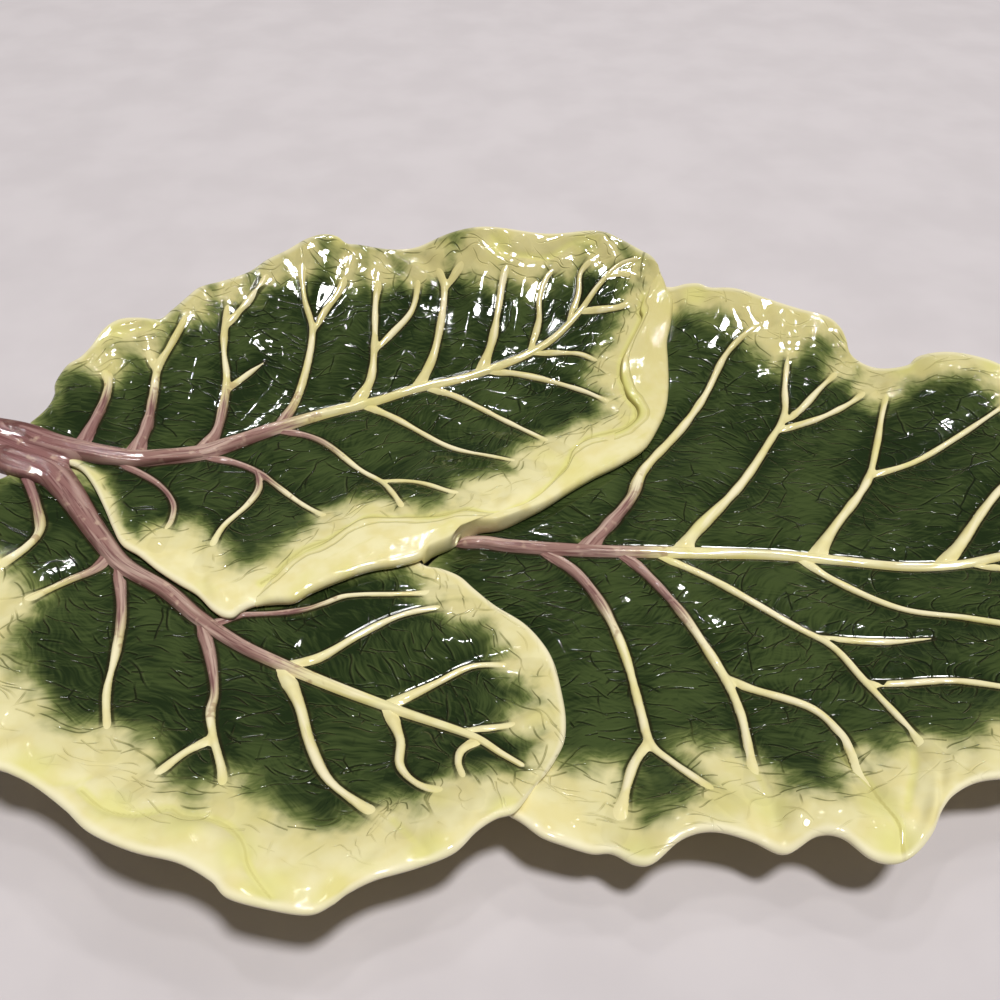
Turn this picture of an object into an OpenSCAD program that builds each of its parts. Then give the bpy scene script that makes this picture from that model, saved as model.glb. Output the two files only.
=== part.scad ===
// Serving platter laid up from three overlapping chard leaves, in glazed earthenware.
// X runs along the platter, from the cut stalk to the tip of the right leaf. Y runs
// from the front rim to the back rim. Z is up, and the foot stands on z = 0.
// A place on the platter is written as two shares: along its length and across its width.

/* [Platter] */
// Length over all, from the cut end of the stalk to the tip of the right leaf
platter_length = 510; // [400:5:620]
// Width over all, from the front rim to the back rim
platter_width = 324; // [250:2:400]
// Mean rise of the rim above the inside floor
rim_rise = 33; // [20:1:45]
// How much the back rim rises above that, and the front rim stays below it
back_lift = 9; // [0:1:14]
// Height of the strongest ruffle of the rim
ruffle_rise = 5; // [0:0.5:7]

/* [Clay] */
// Thickness of the clay under the leaves
clay_thickness = 5; // [4:0.25:7]
// Thickness of the clay at the rim
rim_thickness = 3.4; // [2.5:0.1:4]
// Width over which the clay thins towards the rim
rim_taper = 22; // [12:1:30]
// Depth of the rounding that ends each edge
edge_round = 1.6; // [1:0.1:2]
// Height by which a leaf climbs where it lies on another
lap_step = 3.4; // [2.6:0.1:5]
// Width of the margin that lies on the leaf below
lap_reach = 21; // [20:1:26]
// Width over which the climbing leaf settles back
lap_fall = 36; // [28:1:46]
// Width over which the underside settles back
under_fall = 12; // [8:1:16]
// Joint of slip between two pieces that were laid on each other
slip_joint = 0.3; // [0.2:0.05:0.5]

/* [Ribs and stalk] */
// Width of a main rib at the stalk
midrib_width = 9; // [6:0.5:12]
// Height of a main rib at the stalk
midrib_height = 4; // [2.5:0.25:6]
// Width of a side rib of middling size at its foot
rib_width = 4; // [2.5:0.25:6]
// Height of a side rib of middling size at its foot
rib_height = 2; // [1.2:0.1:3]
// Width of the stalk where the main ribs leave it
stalk_width = 24; // [16:1:30]
// Height of the stalk where the main ribs leave it
stalk_height = 12; // [8:0.5:16]

/* [Turned edge] */
// Thickness of the back leaf's turned edge
lip_thickness = 1.4; // [1:0.1:2.4]

/* [Foot] */
// Length of the foot ring
foot_length = 260; // [200:5:300]
// Width of the foot ring
foot_width = 150; // [110:5:180]
// Wall of the foot ring
foot_wall = 9; // [5:0.5:14]
// Height of the foot ring
foot_height = 6; // [4:0.5:10]
// Level margin of the underside around the foot ring
foot_margin = 4; // [2:1:10]
// Width over which the underside leaves that level
foot_fall = 26; // [15:1:40]

/* [Hidden] */
// Mean length of a leaf between two of its rows, and mean width between two of its columns
row_step = 8.5;
column_step = 9;
// Rows of a leaf from stalk to tip, and columns on each side of its main rib
leaf_rows = round(platter_length / row_step);
leaf_columns = round(platter_width / 4 / column_step);
// How closely the columns crowd to the edge
column_power = 1.5;
// Mean length of a rib between two of its sections
rib_step = 9;
// Powers of the oval dish and of its wall
oval_power = 2.4;
wall_power = 1.9;
// Part of the dish that is level
floor_share = 0.35;
// Height of the inside floor
floor_top = foot_height + clay_thickness;

// Ruffles of the rim: place, height as a share of the strongest, reach as a share of the width
ruffle_shares = [
  [.340, .01, -.6, .08], [.450, .12, .6, .06], [.510, .07, -.8, .05], [.555, .11, .8, .05],
  [.600, .08, -.8, .04], [.630, .11, .8, .04], [.660, .07, -1, .04], [.720, .13, .8, .06],
  [.270, .99, .8, .07], [.350, .97, -.8, .06], [.430, 1.01, 1, .08], [.600, .93, -1, .06],
  [.660, .93, .6, .08], [.770, .79, -1, .06], [.830, .80, .8, .06], [.110, .82, .6, .06],
  [.050, .44, .6, .06], [.065, .33, -.8, .06], [.100, .22, .7, .06], [.905, .71, -.8, .05],
  [.945, .65, .8, .05], [.980, .57, -.7, .05], [.790, .17, -.7, .05], [.840, .20, .7, .05],
  [.895, .26, -.8, .05], [.945, .34, .7, .05]
];

// Back leaf: rim from stalk to tip, then the edge that lies on the other two leaves,
// flat as far as the leaf's lower corner and turned over from there to the tip
back_rim_shares = [
  [.072, .616], [.079, .645], [.080, .670], [.077, .692], [.080, .725], [.088, .744],
  [.094, .762], [.101, .788], [.112, .807], [.128, .818], [.143, .825], [.151, .843],
  [.162, .868], [.172, .886], [.190, .900], [.212, .918], [.228, .937], [.246, .951],
  [.267, .969], [.280, .976], [.291, .976], [.300, .971], [.314, .975], [.346, .981],
  [.366, .984], [.392, .992], [.422, .996], [.450, .996], [.479, .996], [.520, .999],
  [.540, .996], [.557, .986], [.575, .975], [.584, .970], [.589, .965]
];
back_flat_shares = [
  [.072, .577], [.090, .571], [.104, .566], [.118, .560], [.131, .538], [.146, .502],
  [.155, .478], [.166, .453], [.180, .440], [.196, .421], [.213, .404], [.228, .390],
  [.241, .370], [.250, .361], [.257, .361], [.262, .371]
];
back_turn_shares = [
  [.270, .380], [.284, .384], [.297, .386], [.309, .399], [.329, .414], [.350, .428],
  [.367, .434], [.385, .445], [.392, .458], [.406, .472], [.411, .486], [.424, .498],
  [.442, .503], [.460, .520], [.478, .540], [.500, .570], [.520, .595], [.543, .620],
  [.564, .650], [.578, .690], [.587, .725], [.592, .765], [.594, .805], [.595, .840],
  [.600, .870], [.604, .908], [.600, .925], [.597, .940], [.594, .951]
];
back_lap_shares = concat(back_flat_shares, back_turn_shares);
back_midrib_shares = [
  [.072, .596], [.100, .588], [.150, .588], [.175, .601], [.200, .622], [.219, .645],
  [.250, .678], [.290, .713], [.331, .740], [.366, .766], [.400, .783], [.436, .805],
  [.466, .828], [.492, .854], [.516, .890], [.534, .923], [.554, .951], [.575, .962],
  [.592, .958]
];

// Front leaf: edge under the back leaf, edge over the right leaf, then the rim
front_under_shares = [
  [.072, .573], [.100, .580], [.125, .572], [.150, .548], [.180, .492], [.213, .448],
  [.240, .424], [.262, .410], [.285, .425], [.305, .440], [.335, .462], [.360, .468]
];
front_over_shares = [
  [.377, .459], [.388, .444], [.400, .439], [.414, .427], [.425, .408], [.440, .384],
  [.460, .359], [.473, .331], [.480, .303], [.484, .260], [.485, .230], [.483, .202],
  [.477, .179], [.470, .158]
];
front_lap_shares = concat(front_under_shares, front_over_shares);
front_rim_shares = [
  [.072, .541], [.062, .520], [.050, .490], [.045, .460], [.049, .430], [.060, .400],
  [.066, .372], [.063, .345], [.066, .315], [.078, .288], [.090, .262], [.095, .232],
  [.104, .200], [.124, .172], [.143, .151], [.160, .144], [.178, .131], [.200, .108],
  [.218, .086], [.244, .069], [.270, .060], [.290, .044], [.301, .029], [.322, .021],
  [.344, .017], [.355, .026], [.363, .038], [.377, .051], [.398, .061], [.418, .073],
  [.430, .092], [.441, .104], [.451, .110], [.458, .126], [.464, .144]
];
front_midrib_shares = [
  [.072, .556], [.097, .550], [.112, .531], [.126, .506], [.148, .465], [.170, .429],
  [.204, .399], [.233, .362], [.266, .327], [.300, .300], [.344, .268], [.381, .243],
  [.407, .223], [.429, .203], [.444, .182], [.457, .165], [.467, .151]
];

// Right leaf: edge under the back leaf and upper rim, then edge under the front leaf and lower rim
right_upper_shares = [
  [.400, .500], [.420, .522], [.440, .536], [.465, .568], [.490, .608], [.515, .646],
  [.538, .690], [.553, .735], [.562, .790], [.566, .850], [.572, .900], [.580, .930],
  [.592, .941], [.605, .938], [.618, .938], [.630, .933], [.640, .923], [.662, .915],
  [.688, .900], [.716, .884], [.741, .870], [.752, .855], [.757, .838], [.760, .816],
  [.778, .792], [.800, .779], [.810, .785], [.832, .779], [.858, .765], [.874, .750],
  [.890, .726], [.908, .714], [.925, .698], [.938, .665], [.954, .642], [.968, .618],
  [.976, .582], [.986, .552], [.996, .525], [1, .495]
];
right_lower_shares = [
  [.398, .472], [.388, .452], [.384, .425], [.392, .397], [.412, .370], [.437, .340],
  [.452, .300], [.458, .250], [.455, .205], [.446, .170], [.440, .140], [.445, .119],
  [.455, .107], [.466, .093], [.478, .087], [.494, .082], [.506, .083], [.518, .071],
  [.528, .071], [.544, .089], [.562, .096], [.585, .092], [.602, .081], [.620, .093],
  [.634, .090], [.647, .075], [.660, .071], [.672, .077], [.684, .093], [.694, .115],
  [.704, .130], [.719, .142], [.735, .147], [.755, .150], [.775, .163], [.790, .186],
  [.812, .197], [.835, .202], [.852, .222], [.866, .250], [.888, .262], [.908, .277],
  [.922, .305], [.938, .335], [.958, .354], [.972, .382], [.982, .418], [.993, .442],
  [1, .465]
];
right_midrib_shares = [
  [.400, .486], [.429, .488], [.451, .482], [.500, .475], [.550, .472], [.600, .470],
  [.650, .467], [.700, .457], [.745, .443], [.782, .441], [.812, .447], [.860, .455],
  [.910, .462], [.955, .470], [1, .480]
];

// Crease along which the back leaf's edge is turned over, from its tip to its lower corner
crease_shares = [
  [.578, .915], [.572, .888], [.573, .874], [.566, .850], [.556, .821], [.551, .800],
  [.550, .770], [.554, .745], [.561, .724], [.560, .705], [.550, .686], [.534, .672],
  [.516, .662], [.504, .642], [.498, .610], [.488, .584], [.476, .556], [.462, .534],
  [.446, .516], [.430, .517], [.416, .519], [.398, .510], [.366, .507], [.340, .507],
  [.326, .490], [.314, .470], [.298, .457], [.288, .440], [.281, .420], [.272, .406]
];

// Rows of the turned edge
lip_rows = 44;

// Middle line of the stalk from its cut end to the leaves, and its size along it
stalk_shares = [[0, .580], [.020, .581], [.045, .580], [.0698, .579]];
stalk_taper_shares = [.86, .92, .96, 1];
stalk_rows = 7;
stalk_sides = 14;

// Side ribs of each leaf: width at the foot and at the end as shares of a middling
// side rib, the points of its own line, and the points of each fork
back_rib_shares = [
  [1.3, .8, [[.114, .604], [.117, .655], [.116, .700], [.111, .726], [.104, .742]]],
  [1.3, .7, [[.153, .603], [.154, .650], [.151, .700], [.149, .750], [.155, .785],
    [.162, .825], [.170, .870]], [[.149, .742], [.140, .773], [.135, .802]]],
  [1.2, .7, [[.198, .630], [.206, .660], [.207, .710], [.205, .757], [.199, .800],
    [.197, .850], [.201, .903]], [[.198, .836], [.208, .860], [.224, .900], [.237, .940]],
    [[.208, .738], [.218, .758], [.235, .790]]],
  [1.1, .7, [[.254, .686], [.264, .722], [.270, .773], [.273, .845], [.264, .890],
    [.260, .930], [.264, .955]], [[.273, .842], [.282, .875], [.295, .908], [.305, .950]]],
  [1.2, .7, [[.318, .738], [.328, .780], [.329, .840], [.328, .900], [.332, .960]],
    [[.330, .828], [.345, .856], [.361, .890], [.366, .930], [.365, .965]]],
  [1.2, .7, [[.370, .772], [.382, .820], [.389, .880], [.391, .925], [.384, .952],
    [.380, .970]], [[.391, .922], [.401, .941], [.414, .964]]],
  [1.1, .8, [[.427, .805], [.436, .850], [.442, .900], [.447, .940], [.455, .958]]],
  [.9, .6, [[.472, .842], [.479, .880], [.480, .912], [.487, .940], [.500, .958]]],
  [.8, .6, [[.508, .884], [.516, .915], [.518, .941], [.526, .955], [.542, .970]]],
  [.7, .5, [[.542, .936], [.556, .941], [.570, .941], [.580, .938]]],
  [.8, .7, [[.520, .892], [.536, .891], [.551, .893], [.561, .899]]],
  [.9, .5, [[.142, .578], [.162, .566], [.180, .549], [.192, .525], [.195, .500],
    [.193, .478]]],
  [.9, .6, [[.202, .616], [.224, .615], [.246, .602], [.270, .572], [.305, .525]],
    [[.246, .602], [.250, .575], [.245, .543], [.233, .498], [.229, .460]]],
  [.9, .6, [[.252, .679], [.280, .673], [.300, .657], [.325, .620], [.346, .592],
    [.358, .560], [.369, .522]], [[.345, .592], [.374, .583], [.400, .561], [.416, .553]]],
  [.9, .5, [[.328, .732], [.356, .710], [.400, .662], [.430, .641], [.458, .622]]],
  [.9, .6, [[.382, .768], [.403, .757], [.430, .732], [.455, .704], [.474, .677],
    [.484, .662]]],
  [.9, .6, [[.432, .799], [.455, .798], [.488, .785], [.516, .763], [.535, .742]]],
  [.8, .5, [[.474, .832], [.495, .831], [.515, .826], [.531, .811]]]
];
front_rib_shares = [
  [1, .8, [[.082, .540], [.098, .497], [.107, .462], [.104, .434], [.095, .408],
    [.084, .385]]],
  [.9, .7, [[.158, .444], [.153, .418], [.140, .397], [.127, .375], [.115, .356]]],
  [1.1, .6, [[.165, .430], [.173, .400], [.182, .355], [.188, .305], [.193, .250],
    [.203, .203]]],
  [1.1, .6, [[.236, .352], [.248, .310], [.258, .262], [.260, .232], [.267, .200],
    [.277, .165], [.281, .145]], [[.267, .201], [.253, .180], [.241, .150]]],
  [1.2, .7, [[.300, .290], [.314, .248], [.325, .202], [.340, .158], [.360, .130],
    [.377, .112]]],
  [1, .6, [[.372, .243], [.381, .206], [.383, .172], [.396, .147], [.415, .135]]],
  [.8, .5, [[.430, .200], [.420, .188], [.418, .172], [.421, .155]]],
  [.7, .5, [[.277, .376], [.300, .379], [.318, .388], [.334, .397], [.366, .398],
    [.396, .401]]],
  [1, .6, [[.302, .303], [.320, .314], [.344, .342], [.372, .367], [.398, .378],
    [.418, .380]]],
  [1, .5, [[.372, .254], [.400, .278], [.424, .298], [.448, .300]]],
  [.8, .5, [[.418, .213], [.444, .218], [.466, .228]]]
];
right_rib_shares = [
  [1.5, .7, [[.508, .478], [.528, .518], [.548, .565], [.562, .618], [.600, .699],
    [.625, .758], [.646, .818], [.668, .851], [.690, .868]]],
  [1.4, .6, [[.580, .474], [.595, .508], [.636, .584], [.670, .665], [.689, .715],
    [.695, .765], [.704, .825]], [[.684, .700], [.704, .723], [.728, .763], [.757, .806]],
    [[.680, .688], [.716, .704], [.745, .727], [.766, .754]]],
  [1.2, .6, [[.680, .463], [.702, .512], [.738, .584], [.756, .645], [.769, .700],
    [.781, .746]], [[.743, .598], [.780, .613], [.820, .646], [.861, .683]]],
  [1.2, .6, [[.768, .442], [.786, .468], [.818, .526], [.848, .572], [.882, .612],
    [.916, .645]]],
  [.9, .5, [[.872, .458], [.898, .495], [.920, .535], [.950, .570]]],
  [1.2, .7, [[.474, .476], [.500, .438], [.518, .384], [.529, .320], [.534, .250],
    [.537, .205], [.548, .180], [.566, .146]], [[.536, .206], [.524, .176], [.514, .130]]],
  [1.1, .8, [[.532, .473], [.548, .445], [.573, .378], [.592, .299], [.598, .245],
    [.597, .195], [.596, .170]], [[.594, .292], [.608, .276], [.643, .249], [.656, .214],
    [.659, .172]]],
  [.9, .7, [[.560, .469], [.600, .428], [.650, .361], [.672, .330], [.684, .284],
    [.697, .227], [.703, .185]], [[.660, .348], [.682, .339], [.712, .334], [.741, .336]],
    [[.683, .278], [.706, .276], [.740, .276], [.768, .264]]],
  [.9, .6, [[.668, .463], [.690, .425], [.728, .381], [.770, .361], [.812, .333],
    [.846, .290], [.868, .262]]],
  [.9, .5, [[.785, .441], [.822, .420], [.856, .385], [.890, .345], [.914, .318]]],
  [.8, .5, [[.886, .457], [.916, .438], [.944, .412], [.966, .394]]]
];

// Width of each main rib at places along it, as shares of its width at the stalk
back_midrib_taper_shares = [1, 1, .9, .7, .55, .5, .42, .32, .18];
front_midrib_taper_shares = [1.15, 1, .85, .72, .65, .6, .5, .4, .25];
right_midrib_taper_shares = [.72, .74, .7, .62, .55, .5, .46, .34, .2];
// Part of its leaf's middle line that each main rib covers
midrib_end_share = 0.94;

function reversed(list) = [for (i = [len(list) - 1:-1:0]) list[i]];
function total(list) = list * [for (x = list) 1];
function limited(x) = max(0, min(1, x));
function eased(x) = let (t = limited(x)) t * t * (3 - 2 * t);
function mixed(a, b, t) = a + (b - a) * t;

// Smooth curve through a row of points, t from 0 at the first to 1 at the last
function along(line, t) =
  let (
    last = len(line) - 1,
    i = min(floor(t * last), last - 1),
    f = t * last - i,
    a = line[max(i - 1, 0)],
    b = line[i],
    c = line[i + 1],
    d = line[min(i + 2, last)]
  )
  (b * 2 + (c - a) * f + (a * 2 - b * 5 + c * 4 - d) * f * f + (b * 3 - a - c * 3 + d) * f * f * f) / 2;

// The shares that the width over all stands for, from the rows of the leaves
front_most = min([for (i = [0:leaf_rows]) along(front_rim_shares, i / leaf_rows)[1]]);
back_most = max([for (i = [0:leaf_rows]) along(back_rim_shares, i / leaf_rows)[1]]);
span = [platter_length, platter_width / (back_most - front_most)];
middle = [0.5, (back_most + front_most) / 2];

// A place in millimetres from its shares
function spot(p) = [span[0] * (p[0] - middle[0]), span[1] * (p[1] - middle[1])];
function spots(line) = [for (p = line) spot(p)];

// Distance from a place to a row of straight pieces
function to_piece(p, a, b) =
  let (t = limited((p - a) * (b - a) / ((b - a) * (b - a))))
  norm(p - a - (b - a) * t);
function to_line(p, line) = min([for (i = [0:len(line) - 2]) to_piece(p, line[i], line[i + 1])]);

back_lap_line = spots(back_lap_shares);
front_lap_line = spots(front_over_shares);

// One near a lap edge, easing to zero further in
function near(p, line, fall) = 1 - eased((to_line(spot(p), line) - lap_reach) / fall);

// Surface of the dish with its ruffled rim
function ruffles(p) = ruffle_rise * total([for (r = ruffle_shares)
  let (away = norm([(p[0] - r[0]) * span[0], (p[1] - r[1]) * span[1]]) / (r[3] * span[1]))
  away < 3 ? r[2] * exp(-away * away) : 0]);
function dish(p) =
  let (
    u = 2 * p[0] - 1,
    v = 2 * p[1] - 1,
    out = pow(pow(abs(u), oval_power) + pow(abs(v), oval_power), 1 / oval_power),
    t = max(0, (out - floor_share) / (1 - floor_share)),
    wall = t < 1 ? pow(t, wall_power) : 1 + (t - 1) * wall_power / 2
  )
  floor_top + (rim_rise + back_lift * v) * wall + ruffles(p);

// One over the foot ring, easing to zero around it
function foot_pad(p) =
  let (
    at = spot(p),
    beyond = norm([max(0, abs(at[0]) - (foot_length - foot_width) / 2), at[1]])
  )
  1 - eased((beyond - foot_width / 2 - foot_margin) / foot_fall);

// Top of each leaf, 0 for the right leaf, 1 for the front leaf and 2 for the back leaf
function leaf_top(leaf, p) =
  dish(p)
  + (leaf > 0 ? lap_step * near(p, front_lap_line, lap_fall) : 0)
  + (leaf > 1 ? lap_step * near(p, back_lap_line, lap_fall) : 0);
// Underside of each leaf, thinner as the place nears the edge
function leaf_under(leaf, p, in) =
  let (
    top = leaf_top(leaf, p),
    clay = mixed(rim_thickness, clay_thickness, eased(in / rim_taper)),
    free = top - clay - foot_pad(p) * (top - clay - foot_height)
  )
  leaf == 0 ? free : mixed(free, leaf_top(leaf - 1, p) + slip_joint,
    near(p, leaf == 1 ? front_lap_line : back_lap_line, under_fall));

// Closed solid through rings of points. A ring runs over its top row, one side
// point, back under its bottom row and ends at the other side point.
module lofted(rings, columns) {
  ring = 2 * columns + 2;
  last = (len(rings) - 1) * ring;
  sides = [for (r = [0:len(rings) - 2], k = [0:ring - 1])
    let (a = r * ring + k, b = r * ring + (k + 1) % ring)
    each [[a, b + ring, b], [a, a + ring, b + ring]]];
  // One end, triangle by triangle between the top row and the bottom row
  end = concat(
    [for (k = [0:columns - 2]) each [
      [k, k + 1, ring - 2 - k],
      [k + 1, ring - 3 - k, ring - 2 - k]]],
    [[columns - 1, columns, columns + 1], [0, ring - 2, ring - 1]]
  );
  faces = concat(
    sides,
    end,
    [for (f = end) [last + f[2], last + f[1], last + f[0]]]
  );
  polyhedron([for (ring_points = rings) each ring_points], faces, convexity = 8);
}

// Place on a row of a leaf, with its distance to the edge
function leaf_place(mid, edge, share) = [mixed(mid, edge, share), norm(spot(edge) - spot(mid)) * (1 - share)];

// Sheet of one leaf between its two edges, built in rows from stalk to tip
module leaf_sheet(leaf, midrib, left, right) {
  columns = [for (j = [-leaf_columns:leaf_columns]) sign(j) * (1 - pow(1 - abs(j) / leaf_columns, column_power))];
  rings = [for (i = [0:leaf_rows])
    let (
      t = i / leaf_rows,
      m = along(midrib, t),
      l = along(left, t),
      r = along(right, t),
      most_left = 1 - edge_round / norm(spot(l) - spot(m)),
      most_right = 1 - edge_round / norm(spot(r) - spot(m)),
      row = [for (c = columns) c < 0
        ? leaf_place(m, l, -c * most_left)
        : leaf_place(m, r, c * most_right)],
      tops = [for (q = row) [each spot(q[0]), leaf_top(leaf, q[0])]],
      unders = [for (q = row) [each spot(q[0]), leaf_under(leaf, q[0], q[1])]],
      right_side = [each spot(r), (leaf_top(leaf, r) + leaf_under(leaf, r, 0)) / 2],
      left_side = [each spot(l), (leaf_top(leaf, l) + leaf_under(leaf, l, 0)) / 2]
    )
    concat(tops, [right_side], reversed(unders), [left_side])];
  lofted(rings, 2 * leaf_columns + 1);
}

// Ridge along a line on a leaf: its sections are low arches of the given widths and heights
module ridge(leaf, line, widths, height_share, steps, first, end) {
  path = [for (i = [0:steps]) along(line, mixed(first, end, i / steps))];
  rings = [for (i = [0:steps])
    let (
      before = spot(path[max(i - 1, 0)]),
      after = spot(path[min(i + 1, steps)]),
      way = (after - before) / norm(after - before),
      across = [-way[1] / span[0], way[0] / span[1]],
      wide = along(widths, i / steps),
      high = wide * height_share,
      places = [for (c = [.28, -.28]) path[i] + across * wide * c],
      sides = [for (c = [-.5, .5]) path[i] + across * wide * c],
      tops = [for (q = places) [each spot(q), leaf_top(leaf, q) + slip_joint + high]],
      unders = [for (q = places) [each spot(q), leaf_top(leaf, q) + slip_joint]],
      brows = [for (q = sides) [each spot(q), leaf_top(leaf, q) + slip_joint + high * .3]]
    )
    concat(tops, [brows[0]], reversed(unders), [brows[1]])];
  lofted(rings, 2);
}

function line_length(line) = total([for (i = [0:len(line) - 2]) norm(spot(line[i + 1]) - spot(line[i]))]);

// Main rib of a leaf
module midrib(leaf, line, taper) {
  steps = round(line_length(line) / rib_step);
  ridge(leaf, line, taper * midrib_width, midrib_height / midrib_width, steps, 0, midrib_end_share);
}

// Where along its line a side rib leaves the flank of the main rib
function clear_of(line, midrib, gap, low, high, left) =
  let (t = (low + high) / 2)
  left == 0 ? high
    : to_line(spot(along(line, t)), midrib) > gap
      ? clear_of(line, midrib, gap, low, t, left - 1)
      : clear_of(line, midrib, gap, t, high, left - 1);
function flank(line, midrib, taper, width) =
  let (
    away = [for (i = [0:len(midrib) - 1]) norm(midrib[i] - spot(line[0]))],
    nearest = search(min(away), away)[0],
    wide = along(taper, nearest / (len(midrib) - 1)) * midrib_width
  )
  clear_of(line, midrib, wide / 2 + width / 3 + slip_joint, 0, .5, 8);

// Side rib with its forks
module side_rib(leaf, rib, midrib_shares, taper) {
  foot = rib[0] * rib_width;
  end = rib[1] * rib_width;
  first = flank(rib[2], spots(midrib_shares), taper, foot);
  for (k = [2:len(rib) - 1]) {
    line = rib[k];
    steps = max(3, round(line_length(line) / rib_step));
    start = k == 2 ? first : 0;
    wide = k == 2 ? foot : mixed(foot, end, .6);
    ridge(leaf, line, [wide, mixed(wide, end, .6), end], rib_height / rib_width, steps, start, 1);
  }
}

// Turned edge of the back leaf: a thin band from the crease to the leaf's edge
module turned_edge() {
  // The band starts at the tip and ends at the leaf's lower corner
  outer_shares = reversed(back_turn_shares);
  rings = [for (i = [0:lip_rows])
    let (
      t = i / lip_rows,
      a = along(crease_shares, t),
      b = along(outer_shares, t),
      wide = norm(spot(b) - spot(a)),
      in = edge_round / wide,
      row = [for (c = [in, .5, 1 - 2 * in]) mixed(a, b, c)],
      tops = [for (q = row) [each spot(q), leaf_top(2, q) + slip_joint + lip_thickness]],
      unders = [for (q = row) [each spot(q), leaf_top(2, q) + slip_joint]],
      brows = [for (c = [1 - in, 0]) let (q = mixed(a, b, c))
        [each spot(q), leaf_top(2, q) + slip_joint + lip_thickness / 3]]
    )
    concat(tops, [brows[0]], reversed(unders), [brows[1]])];
  lofted(reversed(rings), 3);
}

// Stalk: a flattened bar whose end meets the leaves and the main ribs
module stalk_bar() {
  rings = [for (i = [0:stalk_rows])
    let (
      p = along(stalk_shares, i / stalk_rows),
      wide = stalk_width * along(stalk_taper_shares, i / stalk_rows),
      high = stalk_height * along(stalk_taper_shares, i / stalk_rows),
      at = spot(p),
      mid = dish(p) + lap_step / 2
    )
    [for (k = [0:stalk_sides - 1]) let (turn = (k + .5) * 360 / stalk_sides)
      [at[0], at[1] + cos(turn) * wide / 2, mid + sin(turn) * high / 2]]];
  lofted(rings, stalk_sides / 2 - 1);
}

leaf_green = "darkolivegreen";
rib_cream = "palegoldenrod";
midrib_pink = "rosybrown";

module right_leaf() {
  color(leaf_green) leaf_sheet(0, right_midrib_shares, right_upper_shares, right_lower_shares);
}
module front_leaf() {
  color(leaf_green) leaf_sheet(1, front_midrib_shares, front_lap_shares, front_rim_shares);
}
module back_leaf() {
  color(leaf_green) leaf_sheet(2, back_midrib_shares, back_rim_shares, back_lap_shares);
}
module right_midrib() {
  color(midrib_pink) midrib(0, right_midrib_shares, right_midrib_taper_shares);
}
module front_midrib() {
  color(midrib_pink) midrib(1, front_midrib_shares, front_midrib_taper_shares);
}
module back_midrib() {
  color(midrib_pink) midrib(2, back_midrib_shares, back_midrib_taper_shares);
}
module back_leaf_edge() {
  color(rib_cream) turned_edge();
}
module stalk() {
  color(midrib_pink) stalk_bar();
}
module right_rib(i) {
  color(rib_cream) side_rib(0, right_rib_shares[i], right_midrib_shares, right_midrib_taper_shares);
}
module front_rib(i) {
  color(rib_cream) side_rib(1, front_rib_shares[i], front_midrib_shares, front_midrib_taper_shares);
}
module back_rib(i) {
  color(rib_cream) side_rib(2, back_rib_shares[i], back_midrib_shares, back_midrib_taper_shares);
}

// Ring with half-round ends, standing on the table
module racetrack(length, width) {
  square([length - width, width], center = true);
  for (side = [-1, 1]) translate([side * (length - width) / 2, 0]) circle(d = width, $fn = 96);
}
module foot_ring() {
  color(rib_cream) linear_extrude(foot_height) difference() {
    racetrack(foot_length, foot_width);
    racetrack(foot_length - 2 * foot_wall, foot_width - 2 * foot_wall);
  }
}

back_rib_names = [for (i = [1:len(back_rib_shares)]) str("back_rib_", i)];
front_rib_names = [for (i = [1:len(front_rib_shares)]) str("front_rib_", i)];
right_rib_names = [for (i = [1:len(right_rib_shares)]) str("right_rib_", i)];

right_leaf();
front_leaf();
back_leaf();
right_midrib();
front_midrib();
back_midrib();
back_leaf_edge();
stalk();
foot_ring();
for (i = [0:len(back_rib_shares) - 1]) back_rib(i);
for (i = [0:len(front_rib_shares) - 1]) front_rib(i);
for (i = [0:len(right_rib_shares) - 1]) right_rib(i);
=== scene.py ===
# %% [markdown]
# # A leaf platter in glazed earthenware
# The real platter is laid up from three big leaves that were modelled in clay. Each leaf has a
# raised main rib, forked side ribs and a ruffled rim, and the whole is painted under a clear,
# very glossy glaze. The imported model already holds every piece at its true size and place.
# This lesson loads it as a fixed frame and gives each piece its finer form and its glaze.

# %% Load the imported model
import math
from collections import namedtuple

import bmesh
import bpy
import numpy as np
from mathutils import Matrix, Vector


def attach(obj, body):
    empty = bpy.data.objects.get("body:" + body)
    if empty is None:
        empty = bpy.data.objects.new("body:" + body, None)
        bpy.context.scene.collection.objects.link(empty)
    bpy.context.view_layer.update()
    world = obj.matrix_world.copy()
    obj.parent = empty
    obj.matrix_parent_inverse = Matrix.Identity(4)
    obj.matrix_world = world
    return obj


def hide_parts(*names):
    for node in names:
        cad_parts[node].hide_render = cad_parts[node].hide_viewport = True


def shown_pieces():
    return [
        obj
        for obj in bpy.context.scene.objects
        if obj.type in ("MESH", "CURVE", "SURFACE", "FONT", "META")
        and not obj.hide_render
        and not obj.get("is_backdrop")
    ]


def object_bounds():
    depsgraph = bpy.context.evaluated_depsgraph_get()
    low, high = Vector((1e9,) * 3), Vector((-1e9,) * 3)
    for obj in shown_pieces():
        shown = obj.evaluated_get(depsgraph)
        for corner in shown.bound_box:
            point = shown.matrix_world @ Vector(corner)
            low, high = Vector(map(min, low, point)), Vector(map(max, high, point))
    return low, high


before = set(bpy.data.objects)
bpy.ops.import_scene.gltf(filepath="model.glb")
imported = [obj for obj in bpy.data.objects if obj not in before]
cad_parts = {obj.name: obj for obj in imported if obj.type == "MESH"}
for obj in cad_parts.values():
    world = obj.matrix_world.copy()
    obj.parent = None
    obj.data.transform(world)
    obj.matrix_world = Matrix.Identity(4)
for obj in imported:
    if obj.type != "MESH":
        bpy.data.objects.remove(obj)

cad_low, cad_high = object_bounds()
print("nodes in the frame:", len(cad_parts))
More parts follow.
